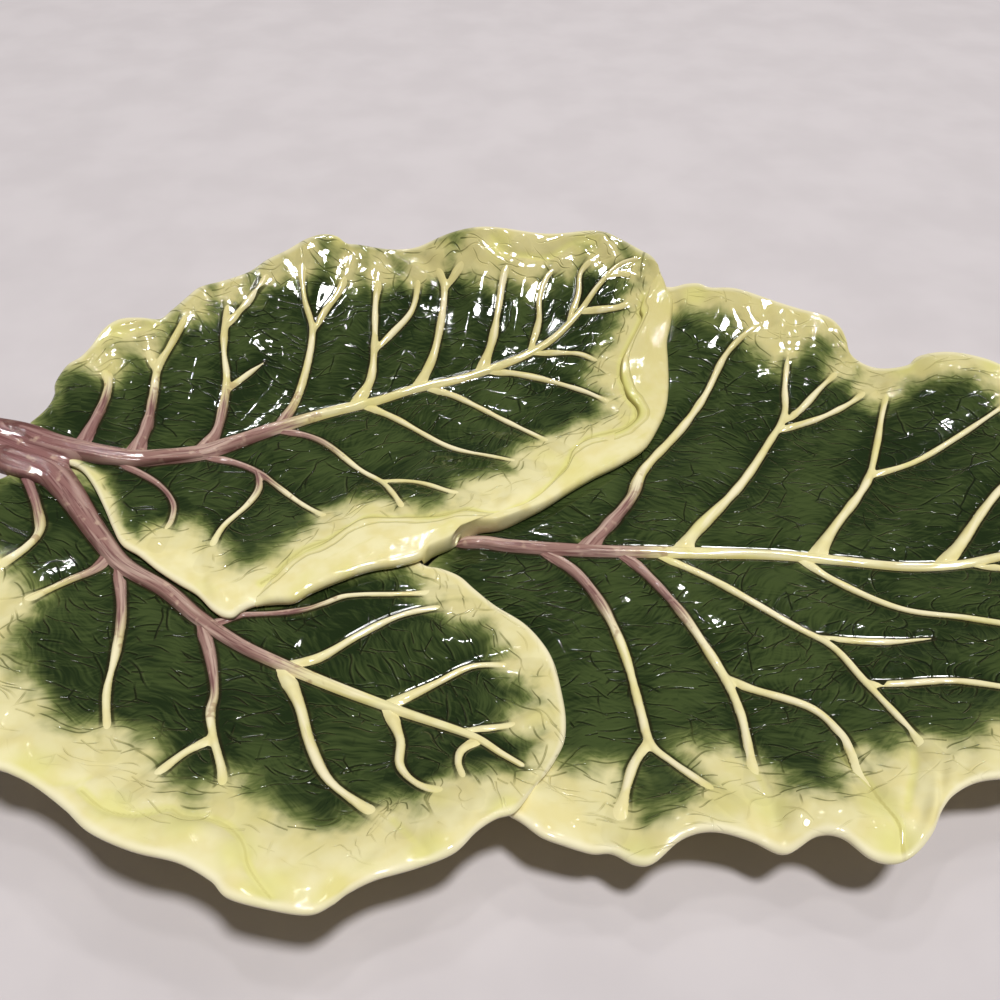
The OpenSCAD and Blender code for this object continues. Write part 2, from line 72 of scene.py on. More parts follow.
print("box in mm:", [round(1000 * (b - a), 1) for a, b in zip(cad_low, cad_high)])

# %% [markdown]
# ## The sizes that the whole platter follows
# Blender works in metres. Lengths on a platter are easier to read in millimetres, so they are
# written as a number times `mm`. The length and the width come from the frame's own box, and
# the rest are the potter's sizes: how high the rim rises, how thick the clay is, and how far a
# leaf climbs where it lies on its neighbour.

# %% Sizes
mm = 0.001
length = cad_high[0] - cad_low[0]
width = cad_high[1] - cad_low[1]
rim_rise, back_lift, ruffle_rise = 33 * mm, 9 * mm, 5 * mm
floor_top, foot_height = 11 * mm, 6 * mm
clay, rim_clay, rim_taper = 5 * mm, 3.4 * mm, 22 * mm
lap_step, lap_reach, lap_fall, under_fall = 3.4 * mm, 21 * mm, 36 * mm, 12 * mm
slip = 0.3 * mm
foot_length, foot_width, foot_wall = 260 * mm, 150 * mm, 9 * mm
foot_margin, foot_fall = 4 * mm, 26 * mm
midrib_width, rib_width = 9 * mm, 4 * mm
print("platter", round(length / mm), "by", round(width / mm), "mm")

# %% [markdown]
# ## Outlines
# A place on the platter is written as two numbers, how many thousandths of its length and of
# its width it lies from the left and the front, so that a line can be read off like a map.
# Each leaf has a line for its middle and one for each edge, and all three run from the stalk
# to the leaf's tip.

# %% Outline of the back leaf
def line_of(text):
    """Places as shares of the length and the width, from pairs of thousandths."""
    return [tuple(float(number) / 1000 for number in pair.split()) for pair in text.split(",")]


back_rim = line_of("""
    72 616, 79 645, 80 670, 77 692, 80 725, 88 744, 94 762, 101 788, 112 807, 128 818, 143 825,
    151 843, 162 868, 172 886, 190 900, 212 918, 228 937, 246 951, 267 969, 280 976, 291 976,
    300 971, 314 975, 346 981, 366 984, 392 992, 422 996, 450 996, 479 996, 520 999, 540 996,
    557 986, 575 975, 584 970, 589 965""")
back_flat = line_of("""
    72 577, 90 571, 104 566, 118 560, 131 538, 146 502, 155 478, 166 453, 180 440, 196 421,
    213 404, 228 390, 241 370, 250 361, 257 361, 262 371""")
back_turn = line_of("""
    270 380, 284 384, 297 386, 309 399, 329 414, 350 428, 367 434, 385 445, 392 458, 406 472,
    411 486, 424 498, 442 503, 460 520, 478 540, 500 570, 520 595, 543 620, 564 650, 578 690,
    587 725, 592 765, 594 805, 595 840, 600 870, 604 908, 600 925, 597 940, 594 951""")
back_mid = line_of("""
    72 596, 100 588, 150 588, 175 601, 200 622, 219 645, 250 678, 290 713, 331 740, 366 766,
    400 783, 436 805, 466 828, 492 854, 516 890, 534 923, 554 951, 575 962, 592 958""")
crease = line_of("""
    578 915, 572 888, 573 874, 566 850, 556 821, 551 800, 550 770, 554 745, 561 724, 560 705,
    550 686, 534 672, 516 662, 504 642, 498 610, 488 584, 476 556, 462 534, 446 516, 430 517,
    416 519, 398 510, 366 507, 340 507, 326 490, 314 470, 298 457, 288 440, 281 420, 272 406""")
back_lines = (back_rim, back_flat, back_turn, back_mid, crease)
print("points of the back leaf:", sum(map(len, back_lines)))

# %% Outline of the front leaf
front_under = line_of("""
    72 573, 100 580, 125 572, 150 548, 180 492, 213 448, 240 424, 262 410, 285 425, 305 440,
    335 462, 360 468""")
front_over = line_of("""
    377 459, 388 444, 400 439, 414 427, 425 408, 440 384, 460 359, 473 331, 480 303, 484 260,
    485 230, 483 202, 477 179, 470 158""")
front_rim = line_of("""
    72 541, 62 520, 50 490, 45 460, 49 430, 60 400, 66 372, 63 345, 66 315, 78 288, 90 262, 95 232,
    104 200, 124 172, 143 151, 160 144, 178 131, 200 108, 218 86, 244 69, 270 60, 290 44, 301 29,
    322 21, 344 17, 355 26, 363 38, 377 51, 398 61, 418 73, 430 92, 441 104, 451 110, 458 126,
    464 144""")
front_mid = line_of("""
    72 556, 97 550, 112 531, 126 506, 148 465, 170 429, 204 399, 233 362, 266 327, 300 300,
    344 268, 381 243, 407 223, 429 203, 444 182, 457 165, 467 151""")
front_lines = (front_under, front_over, front_rim, front_mid)
print("points of the front leaf:", sum(map(len, front_lines)))

# %% Outline of the right leaf
right_upper = line_of("""
    400 500, 420 522, 440 536, 465 568, 490 608, 515 646, 538 690, 553 735, 562 790, 566 850,
    572 900, 580 930, 592 941, 605 938, 618 938, 630 933, 640 923, 662 915, 688 900, 716 884,
    741 870, 752 855, 757 838, 760 816, 778 792, 800 779, 810 785, 832 779, 858 765, 874 750,
    890 726, 908 714, 925 698, 938 665, 954 642, 968 618, 976 582, 986 552, 996 525, 1000 495""")
right_lower = line_of("""
    398 472, 388 452, 384 425, 392 397, 412 370, 437 340, 452 300, 458 250, 455 205, 446 170,
    440 140, 445 119, 455 107, 466 93, 478 87, 494 82, 506 83, 518 71, 528 71, 544 89, 562 96,
    585 92, 602 81, 620 93, 634 90, 647 75, 660 71, 672 77, 684 93, 694 115, 704 130, 719 142,
    735 147, 755 150, 775 163, 790 186, 812 197, 835 202, 852 222, 866 250, 888 262, 908 277,
    922 305, 938 335, 958 354, 972 382, 982 418, 993 442, 1000 465""")
right_mid = line_of("""
    400 486, 429 488, 451 482, 500 475, 550 472, 600 470, 650 467, 700 457, 745 443, 782 441,
    812 447, 860 455, 910 462, 955 470, 1000 480""")
print("points of the right leaf:", sum(map(len, (right_upper, right_lower, right_mid))))

# %% [markdown]
# ## Reading a line
# A potter's line is smooth, but a map holds only a few points of it. `along` runs a smooth
# curve through the points, and `spot` turns shares into metres. The width of the platter is
# measured between its outermost points, so the two outermost rim lines set the scale.

# %% Smooth lines and places
def along(line, t):
    """Points of a smooth curve through a line's points, t from 0 at the first to 1 at the last."""
    line, t = np.asarray(line, float), np.atleast_1d(t)
    last = len(line) - 1
    i = np.minimum((t * last).astype(int), last - 1)
    f = t * last - i
    if line.ndim > 1:
        f = f[:, None]
    a, b, c, d = line[np.maximum(i - 1, 0)], line[i], line[i + 1], line[np.minimum(i + 2, last)]
    curved = (2 * a - 5 * b + 4 * c - d) * f**2 + (3 * b - a - 3 * c + d) * f**3
    return (2 * b + (c - a) * f + curved) / 2


row_shares = np.linspace(0, 1, 61)
front_most = along(front_rim, row_shares)[:, 1].min()
back_most = along(back_rim, row_shares)[:, 1].max()
span = np.array([length, width / (back_most - front_most)])
middle = np.array([0.5, (back_most + front_most) / 2])


def spot(shares):
    """Metres in the frame from shares."""
    return (np.asarray(shares, float) - middle) * span


def back_to_shares(places):
    """Shares from metres in the frame."""
    return places / span + middle


print("one share is", (span / mm).round(1), "mm")

# %% [markdown]
# ## Distances
# Nearly everything on the platter depends on how far a place is from a line: the thinning of
# the clay at the rim, the climb of one leaf on another, the glaze that pools beside a rib.
# `nearest` measures that for many places at once.

# %% Distance to a line
far = 9.0


def nearest(places, line):
    """Distance of each place to a line of straight pieces, how far along, and on which side."""
    away = np.full(len(places), far)
    run, side = np.zeros(len(places)), np.ones(len(places))
    start = 0.0
    for a, b in zip(line[:-1], line[1:]):
        step = b - a
        size = math.hypot(*step)
        if size == 0:
            continue
        t = np.clip(((places - a) @ step) / size**2, 0, 1)
        off = places - a - t[:, None] * step
        gap = np.hypot(off[:, 0], off[:, 1])
        closer = gap < away
        away[closer] = gap[closer]
        run[closer] = start + t[closer] * size
        side[closer] = np.where(step[0] * off[closer, 1] - step[1] * off[closer, 0] < 0, -1, 1)
        start += size
    return away, run, side


def run_of(line):
    """How far along a line of points each point is."""
    return np.concatenate([[0], np.cumsum(np.hypot(*np.diff(line, axis=0).T))])


def read_at(run, line, values):
    """What is known at a line's points, two numbers each, read at other distances along it."""
    return np.stack([np.interp(run, run_of(line), values[:, i]) for i in (0, 1)], axis=-1)


def leftward(line):
    """At each point of a line, the direction square to it, to its left."""
    way = np.gradient(line, axis=0)
    way /= np.hypot(*way.T)[:, None]
    return np.stack([-way[:, 1], way[:, 0]], axis=1)


print("the main rib of the right leaf is", round(run_of(spot(right_mid))[-1] / mm), "mm long")

# %% [markdown]
# Three soft steps turn a distance into a share: `eased` climbs from 0 to 1 without a corner,
# `bell` is 1 on the line and falls to nothing round it, and `mixed` goes from one value to
# another.

# %% Soft steps
def eased(x):
    t = np.clip(x, 0, 1)
    return t * t * (3 - 2 * t)


def bell(away, reach):
    return np.exp(-(away / reach) ** 2)


def mixed(a, b, t):
    return a + (b - a) * t


print("a bell at half its reach:", round(float(bell(.5, 1)), 2))

# %% [markdown]
# ## The dish
# The three leaves lie in one oval dish. Its wall rises as a power of the distance from the
# middle, a little higher at the back, and a few broad ruffles lift or drop the rim. Every
# ruffle is a place, a height and a reach. A leaf that lies on others climbs by one step where
# it covers their margins.

# %% Heights of the dish and of each leaf
ruffles = [
    (.340, .01, -.6, .08), (.450, .12, .6, .06), (.510, .07, -.8, .05), (.555, .11, .8, .05),
    (.600, .08, -.8, .04), (.630, .11, .8, .04), (.660, .07, -1, .04), (.720, .13, .8, .06),
    (.270, .99, .8, .07), (.350, .97, -.8, .06), (.430, 1.01, 1, .08), (.600, .93, -1, .06),
    (.660, .93, .6, .08), (.770, .79, -1, .06), (.830, .80, .8, .06), (.110, .82, .6, .06),
    (.050, .44, .6, .06), (.065, .33, -.8, .06), (.100, .22, .7, .06), (.905, .71, -.8, .05),
    (.945, .65, .8, .05), (.980, .57, -.7, .05), (.790, .17, -.7, .05), (.840, .20, .7, .05),
    (.895, .26, -.8, .05), (.945, .34, .7, .05)]
roundness, floor_share, steepness = 2.4, .35, 1.9
back_lap = spot(back_flat + back_turn)
front_lap = spot(front_over)


def dish(p):
    """Height of the dish at shares p."""
    u, v = 2 * p[:, 0] - 1, 2 * p[:, 1] - 1
    out = (np.abs(u) ** roundness + np.abs(v) ** roundness) ** (1 / roundness)
    t = np.maximum(0, (out - floor_share) / (1 - floor_share))
    wall = np.where(t < 1, t**steepness, 1 + (t - 1) * steepness / 2)
    z = floor_top + (rim_rise + back_lift * v) * wall
    for x, y, rise, reach in ruffles:
        away = np.hypot((p[:, 0] - x) * span[0], (p[:, 1] - y) * span[1]) / (reach * span[1])
        z += ruffle_rise * rise * np.where(away < 3, np.exp(-away**2), 0)
    return z


def near(places, line, fall):
    return 1 - eased((nearest(places, line)[0] - lap_reach) / fall)


def leaf_top(leaf, places):
    """Top of a leaf: 0 is the right leaf, 1 the front leaf, 2 the back leaf."""
    z = dish(back_to_shares(places))
    if leaf > 0:
        z = z + lap_step * near(places, front_lap, lap_fall)
    if leaf > 1:
        z = z + lap_step * near(places, back_lap, lap_fall)
    return z


def leaf_under(leaf, places, top, inset):
    """Underside of a leaf, thinner towards the rim and flat over the foot."""
    thick = mixed(rim_clay, clay, eased(inset / rim_taper))
    past_straight = np.abs(places[:, 0]) - (foot_length - foot_width) / 2
    beyond = np.hypot(np.maximum(0, past_straight), places[:, 1])
    pad = 1 - eased((beyond - foot_width / 2 - foot_margin) / foot_fall)
    free = top - thick - pad * (top - thick - foot_height)
    if leaf == 0:
        return free
    lap = front_lap if leaf == 1 else back_lap
    return mixed(free, leaf_top(leaf - 1, places) + slip, near(places, lap, under_fall))


print("height at the middle, mm:", (leaf_top(0, np.zeros((1, 2))) / mm).round(2))

# %% [markdown]
# ## Uneven clay
# Nothing on the platter is quite even: the ribs vary in width and the leaf is full of small
# hills. `swells` adds crossed waves of one size in random directions, from a fixed seed, so
# that the hills come out the same on each run.

# %% Random hills
def swells(places, size, seed, count=16):
    """Smooth hills about `size` across, roughly between -2 and 2."""
    random = np.random.default_rng(seed)
    total = np.zeros(len(places))
    for _ in range(count):
        turn = random.uniform(0, 2 * math.pi)
        stretch = random.uniform(.7, 1.4)
        phase = random.uniform(0, 2 * math.pi)
        wave = places[:, 0] * math.cos(turn) + places[:, 1] * math.sin(turn)
        total += np.sin(wave * math.pi * stretch / size + phase)
    return total / math.sqrt(count / 2)


def along_only(run):
    """Places on a straight line, for hills that change only along it."""
    return np.stack([run, 0 * run], axis=1)


hills = swells(spot(back_rim), 10 * mm, 1)
print("hills between", hills.min().round(2), "and", hills.max().round(2))

# %% [markdown]
# ## The side ribs
# Each side rib is written with its width at the foot and at its end, as shares of a middling
# rib, then the points of its own line, then the points of each fork. The names of the packed
# pieces follow the same order.

# %% Side ribs of the three leaves
back_ribs = [
    (1.3, .8, "114 604, 117 655, 116 700, 111 726, 104 742"),
    (1.3, .7, "153 603, 154 650, 151 700, 149 750, 155 785, 162 825, 170 870",
     "149 742, 140 773, 135 802"),
    (1.2, .7, "198 630, 206 660, 207 710, 205 757, 199 800, 197 850, 201 903",
     "198 836, 208 860, 224 900, 237 940", "208 738, 218 758, 235 790"),
    (1.1, .7, "254 686, 264 722, 270 773, 273 845, 264 890, 260 930, 264 955",
     "273 842, 282 875, 295 908, 305 950"),
    (1.2, .7, "318 738, 328 780, 329 840, 328 900, 332 960",
     "330 828, 345 856, 361 890, 366 930, 365 965"),
    (1.2, .7, "370 772, 382 820, 389 880, 391 925, 384 952, 380 970", "391 922, 401 941, 414 964"),
    (1.1, .8, "427 805, 436 850, 442 900, 447 940, 455 958"),
    (.9, .6, "472 842, 479 880, 480 912, 487 940, 500 958"),
    (.8, .6, "508 884, 516 915, 518 941, 526 955, 542 970"),
    (.7, .5, "542 936, 556 941, 570 941, 580 938"),
    (.8, .7, "520 892, 536 891, 551 893, 561 899"),
    (.9, .5, "142 578, 162 566, 180 549, 192 525, 195 500, 193 478"),
    (.9, .6, "202 616, 224 615, 246 602, 270 572, 305 525",
     "246 602, 250 575, 245 543, 233 498, 229 460"),
    (.9, .6, "252 679, 280 673, 300 657, 325 620, 346 592, 358 560, 369 522",
     "345 592, 374 583, 400 561, 416 553"),
    (.9, .5, "328 732, 356 710, 400 662, 430 641, 458 622"),
    (.9, .6, "382 768, 403 757, 430 732, 455 704, 474 677, 484 662"),
    (.9, .6, "432 799, 455 798, 488 785, 516 763, 535 742"),
    (.8, .5, "474 832, 495 831, 515 826, 531 811")]
front_ribs = [
    (1, .8, "82 540, 98 497, 107 462, 104 434, 95 408, 84 385"),
    (.9, .7, "158 444, 153 418, 140 397, 127 375, 115 356"),
    (1.1, .6, "165 430, 173 400, 182 355, 188 305, 193 250, 203 203"),
    (1.1, .6, "236 352, 248 310, 258 262, 260 232, 267 200, 277 165, 281 145",
     "267 201, 253 180, 241 150"),
    (1.2, .7, "300 290, 314 248, 325 202, 340 158, 360 130, 377 112"),
    (1, .6, "372 243, 381 206, 383 172, 396 147, 415 135"),
    (.8, .5, "430 200, 420 188, 418 172, 421 155"),
    (.7, .5, "262 371, 300 379, 318 388, 334 397, 366 398, 396 401"),
    (1, .6, "302 303, 320 314, 344 342, 372 367, 398 378, 418 380"),
    (1, .5, "372 254, 400 278, 424 298, 448 300"),
    (.8, .5, "418 213, 444 218, 466 228")]
right_ribs = [
    (1.5, .7, "508 478, 528 518, 548 565, 562 618, 600 699, 625 758, 646 818, 668 851, 690 868"),
    (1.4, .6, "580 474, 595 508, 636 584, 670 665, 689 715, 695 765, 704 825",
     "684 700, 704 723, 728 763, 757 806", "680 688, 716 704, 745 727, 766 754"),
    (1.2, .6, "680 463, 702 512, 738 584, 756 645, 769 700, 781 746",
     "743 598, 780 613, 820 646, 861 683"),
    (1.2, .6, "768 442, 786 468, 818 526, 848 572, 882 612, 916 645"),
    (.9, .5, "872 458, 898 495, 920 535, 950 570"),
    (1.2, .7, "474 476, 500 438, 518 384, 529 320, 534 250, 537 205, 548 180, 566 146",
     "536 206, 524 176, 514 130"),
    (1.1, .8, "532 473, 548 445, 573 378, 592 299, 598 245, 597 195, 596 170",
     "594 292, 608 276, 643 249, 656 214, 659 172"),
    (.9, .7, "560 469, 600 428, 650 361, 672 330, 684 284, 697 227, 703 185",
     "660 348, 682 339, 712 334, 741 336", "683 278, 706 276, 740 276, 768 264"),
    (.9, .6, "668 463, 690 425, 728 381, 770 361, 812 333, 846 290, 868 262"),
    (.9, .5, "785 441, 822 420, 856 385, 890 345, 914 318"),
    (.8, .5, "886 457, 916 438, 944 412, 966 394")]
print("side ribs:", len(back_ribs), len(front_ribs), len(right_ribs))

# %% [markdown]
# A main rib follows the middle of its leaf. It is written as its leaf, that line, and its width
# at even steps along it, as shares of a main rib.

# %% Main ribs
midribs = {
    "right_midrib": (0, right_mid, (.74, .74, .7, .62, .55, .5, .46, .34, .2)),
    "front_midrib": (1, front_mid, (1.2, 1.1, .88, .76, .66, .6, .5, .4, .25)),
    "back_midrib": (2, back_mid, (1.05, 1, .9, .7, .55, .5, .42, .32, .18))}
print("main ribs:", len(midribs))

# %% [markdown]
# ## The painted fields
# The decorator brushed the green between the ribs and stopped short of the rim, so each leaf
# has a green field with a scalloped border: it bulges towards the rim between two ribs and
# draws back where a rib runs out into the cream. The border is drawn as a closed line. The
# glaze later asks how far inside that line a place is, and feathers the paint there.

# %% Borders of the green fields
green_fields = {
    2: line_of("""
        76 590, 78 640, 79 700, 85 722, 100 733, 108 745, 116 765, 127 768, 136 785, 141 815,
        152 828, 160 850, 172 880, 183 890, 196 893, 203 905, 215 915, 228 925, 243 930, 254 915,
        262 945, 278 965, 292 955, 308 965, 325 970, 340 963, 358 966, 368 958, 378 965, 392 986,
        412 992, 408 955, 418 935, 436 930, 448 940, 462 925, 478 926, 490 950, 505 969, 525 974,
        550 976, 572 968, 584 958, 572 938, 572 915, 562 902, 554 880, 552 862, 545 845, 534 820,
        530 795, 522 780, 536 752, 538 730, 532 708, 518 694, 500 680, 486 664, 474 663, 462 645,
        452 630, 458 615, 452 600, 436 590, 414 578, 408 552, 400 530, 386 520, 370 526, 350 546,
        330 542, 312 530, 300 500, 284 466, 268 438, 250 432, 236 452, 224 474, 206 492, 192 472,
        180 460, 166 472, 156 500, 146 530, 132 556, 110 576"""),
    1: line_of("""
        80 550, 66 532, 58 505, 56 475, 64 445, 78 418, 96 398, 108 384, 120 372, 128 366, 122 348,
        120 320, 123 295, 132 268, 150 240, 166 214, 182 194, 200 202, 214 196, 234 183, 240 160,
        254 132, 268 122, 280 142, 290 150, 302 126, 325 104, 344 96, 364 112, 376 124, 392 120,
        404 136, 416 150, 436 152, 454 158, 464 176, 468 205, 466 222, 470 245, 462 275, 450 292,
        446 312, 440 338, 430 362, 418 374, 402 380, 396 400, 382 420, 372 440, 340 440, 310 425,
        280 405, 260 400, 220 430, 180 485, 150 540, 110 560"""),
    0: line_of("""
        400 500, 450 540, 500 610, 540 690, 566 780, 576 850, 598 888, 614 897, 632 884, 650 880,
        658 856, 668 838, 680 815, 690 796, 702 812, 722 830, 744 834, 750 808, 762 785, 760 758,
        758 732, 770 716, 786 736, 802 750, 824 742, 846 740, 862 708, 880 690, 900 676, 916 650,
        936 628, 950 600, 958 565, 968 530, 972 490, 966 450, 950 415, 936 385, 912 352, 892 322,
        868 300, 848 282, 830 262, 806 250, 784 240, 766 222, 745 205, 722 186, 708 200, 692 196,
        678 184, 662 190, 654 162, 640 136, 616 140, 602 160, 588 198, 570 194, 556 200, 566 146,
        556 128, 536 110, 514 114, 516 150, 512 176, 496 166, 478 180, 462 200, 456 260, 440 330,
        400 390, 392 440""")}
print("border points:", {leaf: len(line) for leaf, line in green_fields.items()})

# %% How deep inside the green a place is
deepest_green = 25 * mm


def closed_curve(shares):
    """A smooth ring through the places, four points from each place to the next."""
    line = [shares[-1]] + shares + shares[:2]
    steps = len(line) - 1
    return along(spot(line), np.linspace(1 / steps, 1 - 1 / steps, 4 * (steps - 1) - 3))


def inside(places, ring):
    """Whether a place is inside a ring: a ray from it crosses the ring an odd number of times."""
    x, y = places.T
    hit = np.zeros(len(places), bool)
    for (x0, y0), (x1, y1) in zip(ring, np.roll(ring, -1, axis=0)):
        if y0 != y1:
            hit ^= ((y0 > y) != (y1 > y)) & (x < (x1 - x0) * (y - y0) / (y1 - y0) + x0)
    return hit


def depth_in_green(places, leaf):
    """Distance to the border of the leaf's green field, positive inside it."""
    ring = closed_curve(green_fields[leaf])
    away = nearest(places, np.vstack([ring, ring[:1]]))[0]
    return np.where(inside(places, ring), 1, -1) * np.minimum(away, deepest_green)


in_green = depth_in_green(spot([(.62, .60)]), 0)
print("a place on the right leaf lies", (in_green / mm).round(1), "mm inside the green")

# %% [markdown]
# ## Where the ribs lie
# The leaf's surface has to know its ribs: it puffs up between them, and a dark line of pooled
# glaze and painted shade runs along their feet. So the lines are laid out here first, with a
# width and a height at every point, and the rib pieces use the same lines later. A strand is a
# main rib, a side rib's trunk or one of its forks. It begins on its parent's own line, and
# widens to a web where it comes out `past` the parent. A pointed end stays in the green. An end
# that `spreads` runs on into the cream, where it widens and sinks.

# %% Main ribs as strands
Strand = namedtuple("Strand", "line wide high first spreads lean past web",
                    defaults=(0.0, False, None, 0.0, 0.0))
midrib_ends, midrib_height, rib_height = .94, .36, .38


def midrib_strand(shares, taper):
    points = spot(shares)
    line = along(points, np.linspace(0, midrib_ends, int(run_of(points)[-1] / mm)))
    run = run_of(line)
    start = mixed(.35, 1, eased(run / (10 * mm)))
    wide = along(taper, run / run[-1]) * midrib_width * start
    return Strand(line, wide, wide * midrib_height * start)


midrib_strands = {leaf: midrib_strand(shares, taper) for leaf, shares, taper in midribs.values()}
edges = {0: (right_upper, right_lower), 1: (front_under + front_over, front_rim),
         2: (back_rim, back_flat + back_turn)}
outlines = {leaf: np.vstack([along(spot(left), np.linspace(0, 1, 240)),
                             along(spot(right), np.linspace(1, 0, 240))])
            for leaf, (left, right) in edges.items()}
print("points on a main rib:", len(midrib_strands[0].line))

# %% Side ribs as strands
rib_step, end_reach = 1.2 * mm, 5 * mm
unevenness, unevenness_size = .07, 8 * mm
on_parent, in_parent = .6 * mm, .8
past_green, shortest_run, longest_run = 11 * mm, 8 * mm, 22 * mm
point_low, point_narrow, rise_reach = 9 * mm, 13 * mm, 5 * mm
web_reach, spread_reach, sink_reach = 3.4 * mm, 11 * mm, 20 * mm
pointed_ends = line_of("235 790, 741 336")
print("a side rib has a point every", round(rib_step / mm, 1), "mm")


def unit(step):
    return step / np.hypot(*step)


def leaning(place, parent, way):
    """The direction of the parent line at a place, pointing to the left of `way`."""
    i = np.clip(np.argmin(np.hypot(*(parent - place).T)), 1, len(parent) - 2)
    alongside = unit(parent[i + 1] - parent[i - 1])
    return alongside if way[0] * alongside[1] - way[1] * alongside[0] > 0 else -alongside


# %% A side rib and its forks
def rib_strands(rib, leaf, seed):
    """The trunk and the forks of a side rib."""
    foot, end = rib[0] * rib_width, rib[1] * rib_width
    made = []
    for k, shares in enumerate(map(line_of, rib[2:])):
        parent = made[0] if k else midrib_strands[leaf]
        points = spot(shares)
        line = along(points, np.linspace(0, 1, max(8, int(run_of(points)[-1] / rib_step))))

        # Its beginning, on the parent's line
        off, at, _ = nearest(line[:1], parent.line)
        if off[0] > on_parent:
            begin = read_at(at - .5 * off, parent.line, parent.line)
            gap = np.hypot(*(line[0] - begin[0]))
            shares_down = np.arange(0, gap, rib_step)[:, None] / gap
            line = np.vstack([mixed(begin, line[:1], shares_down), line])
        half = np.interp(at, run_of(parent.line), parent.wide)[0] / 2
        clear = nearest(line, parent.line)[0] > half * in_parent
        past = max(run_of(line)[np.argmax(clear)], rib_step)

        # Its end, which runs on into the cream but not to the rim's edge
        spreads = shares[-1] not in pointed_ends
        if spreads:
            way = unit(line[-1] - line[-3])
            to_border = depth_in_green(line[-1:], leaf)[0]
            more = np.clip(to_border + past_green, shortest_run, longest_run)
            more = min(more, nearest(line[-1:], outlines[leaf])[0][0] - end_reach)
            steps = np.arange(rib_step, more, rib_step)
            line = np.vstack([line] + [line[-1] + way * step for step in steps])

        # Its width and height at each point
        run = run_of(line)
        to_end = run[-1] - run
        start = foot if k == 0 else mixed(foot, end, .6)
        wide = along([start, mixed(start, end, .6), end], run / run[-1])
        wide = wide * (1 + unevenness * swells(along_only(run), unevenness_size, seed + k))
        high = wide * rib_height * mixed(.6, 1, eased((run - past) / rise_reach))
        if spreads:
            high = high * mixed(.25, 1, eased(to_end / sink_reach))
            wide = wide * (1 + 1.3 * bell(to_end, spread_reach))
        else:
            high = high * mixed(.3, 1, eased(to_end / point_low))
            wide = wide * mixed(.3, 1, eased(to_end / point_narrow))
        web = (1.1 if k == 0 else .8) * np.exp(-np.maximum(run - past, 0) / web_reach)
        wide = wide * (1 + web) * mixed(.4, 1, eased(run / past))
        first = nearest(line[:1], made[0].line)[1][0] if k else 0.0
        lean = leaning(line[0], parent.line, line[3] - line[0])
        made.append(Strand(line, wide, high, first, spreads, lean, past, web))
    return made


ribs = {}
rib_tables = {"right": (0, right_ribs), "front": (1, front_ribs), "back": (2, back_ribs)}
for group, (leaf, tables) in rib_tables.items():
    for i, rib in enumerate(tables):
        ribs[f"{group}_rib_{i + 1}"] = (leaf, rib_strands(rib, leaf, 100 * leaf + 5 * i))
for name, (leaf, shares, taper) in midribs.items():
    ribs[name] = (leaf, [midrib_strands[leaf]])
print("pieces with ribs:", len(ribs))

# %% [markdown]
# Each leaf can now ask about the strands on it: how far a place is from the nearest rib, which
# way the fine veins run there, and how far the green draws back round a rib end.

# %% What the ribs mean for the leaf
rib_reach = 30 * mm


def strands_on(leaf):
    return [s for of_leaf, strands in ribs.values() if of_leaf == leaf for s in strands]


feet = {leaf: [(read_at(s.past, s.line, s.line), np.interp(s.past, run_of(s.line), s.wide))
               for s in strands_on(leaf) if s.lean is not None] for leaf in (0, 1, 2)}


def beside(places, line, reach):
    """The places within reach of a line's box: which they are, their distance and how far along."""
    window = np.all((places > line.min(0) - reach) & (places < line.max(0) + reach), axis=1)
    away, run, _ = nearest(places[window], line)
    return window, away, run


def width_at(s, run):
    """How wide a strand is at a distance along it."""
    return np.interp(run, run_of(s.line), s.wide)


def rib_gap(places, leaf):
    """How far each place is from the edge of the nearest rib of its leaf."""
    gap = np.full(len(places), rib_reach)
    for s in strands_on(leaf):
        window, away, run = beside(places, s.line, rib_reach)
        half = np.interp(run, run_of(s.line), s.wide / (1 + s.web)) / 2
        gap[window] = np.minimum(gap[window], away - half)
    return gap


print("feet of side ribs and forks:", {leaf: len(places) for leaf, places in feet.items()})

# %% Which way the veins run, and how far the green reaches
def vein_way(places, leaf):
    """The direction in which the fine veins run at each place: square to the side ribs near it."""
    main = midrib_strands[leaf].line
    tipward = unit(main[-1] - main[0])
    total = np.tile(tipward, (len(places), 1))
    for s in strands_on(leaf):
        if s.lean is not None:
            square = -leftward(s.line)
            square *= np.where(square @ tipward < 0, -1, 1)[:, None]
            window, away, run = beside(places, s.line, rib_reach)
            weight = (9 * mm / (away + 2 * mm)) ** 2
            total[window] += read_at(run, s.line, square) * weight[:, None]
    return np.arctan2(total[:, 1], total[:, 0])


def green_depth(places, leaf):
    """Depth inside the green, which draws back round every rib end that spreads into the cream."""
    depth = depth_in_green(places, leaf)
    for s in strands_on(leaf):
        if s.spreads:
            window, away, run = beside(places, s.line, rib_reach)
            edge = away - width_at(s, run) / 2
            to_end = run_of(s.line)[-1] - run
            halo = edge - 4 * mm + 12 * mm * np.clip((to_end - 9 * mm) / (13 * mm), 0, 1)
            depth[window] = np.minimum(depth[window], halo)
    if leaf == 2:
        depth = depth * (1 + 2.5 * bell(nearest(places, spot(back_flat))[0], 9 * mm))
    return depth


print("ends that spread:", sum(s.spreads for leaf in (0, 1, 2) for s in strands_on(leaf)))

# %% [markdown]
# ## Creases and pools of the rim
# The cream rim isn't smooth either. A few creases cross it where the clay buckled, faint veins
# fan out of the rib ends, and straw yellow glaze lies in the hollows. Each crease is a leaf
# number, a depth in millimetres and a line. Each pool is a leaf number, a place as two shares,
# and a reach in millimetres. Each vein of a fan is a turn, how far it begins behind the rib's
# end, its reach, its rise and its width.

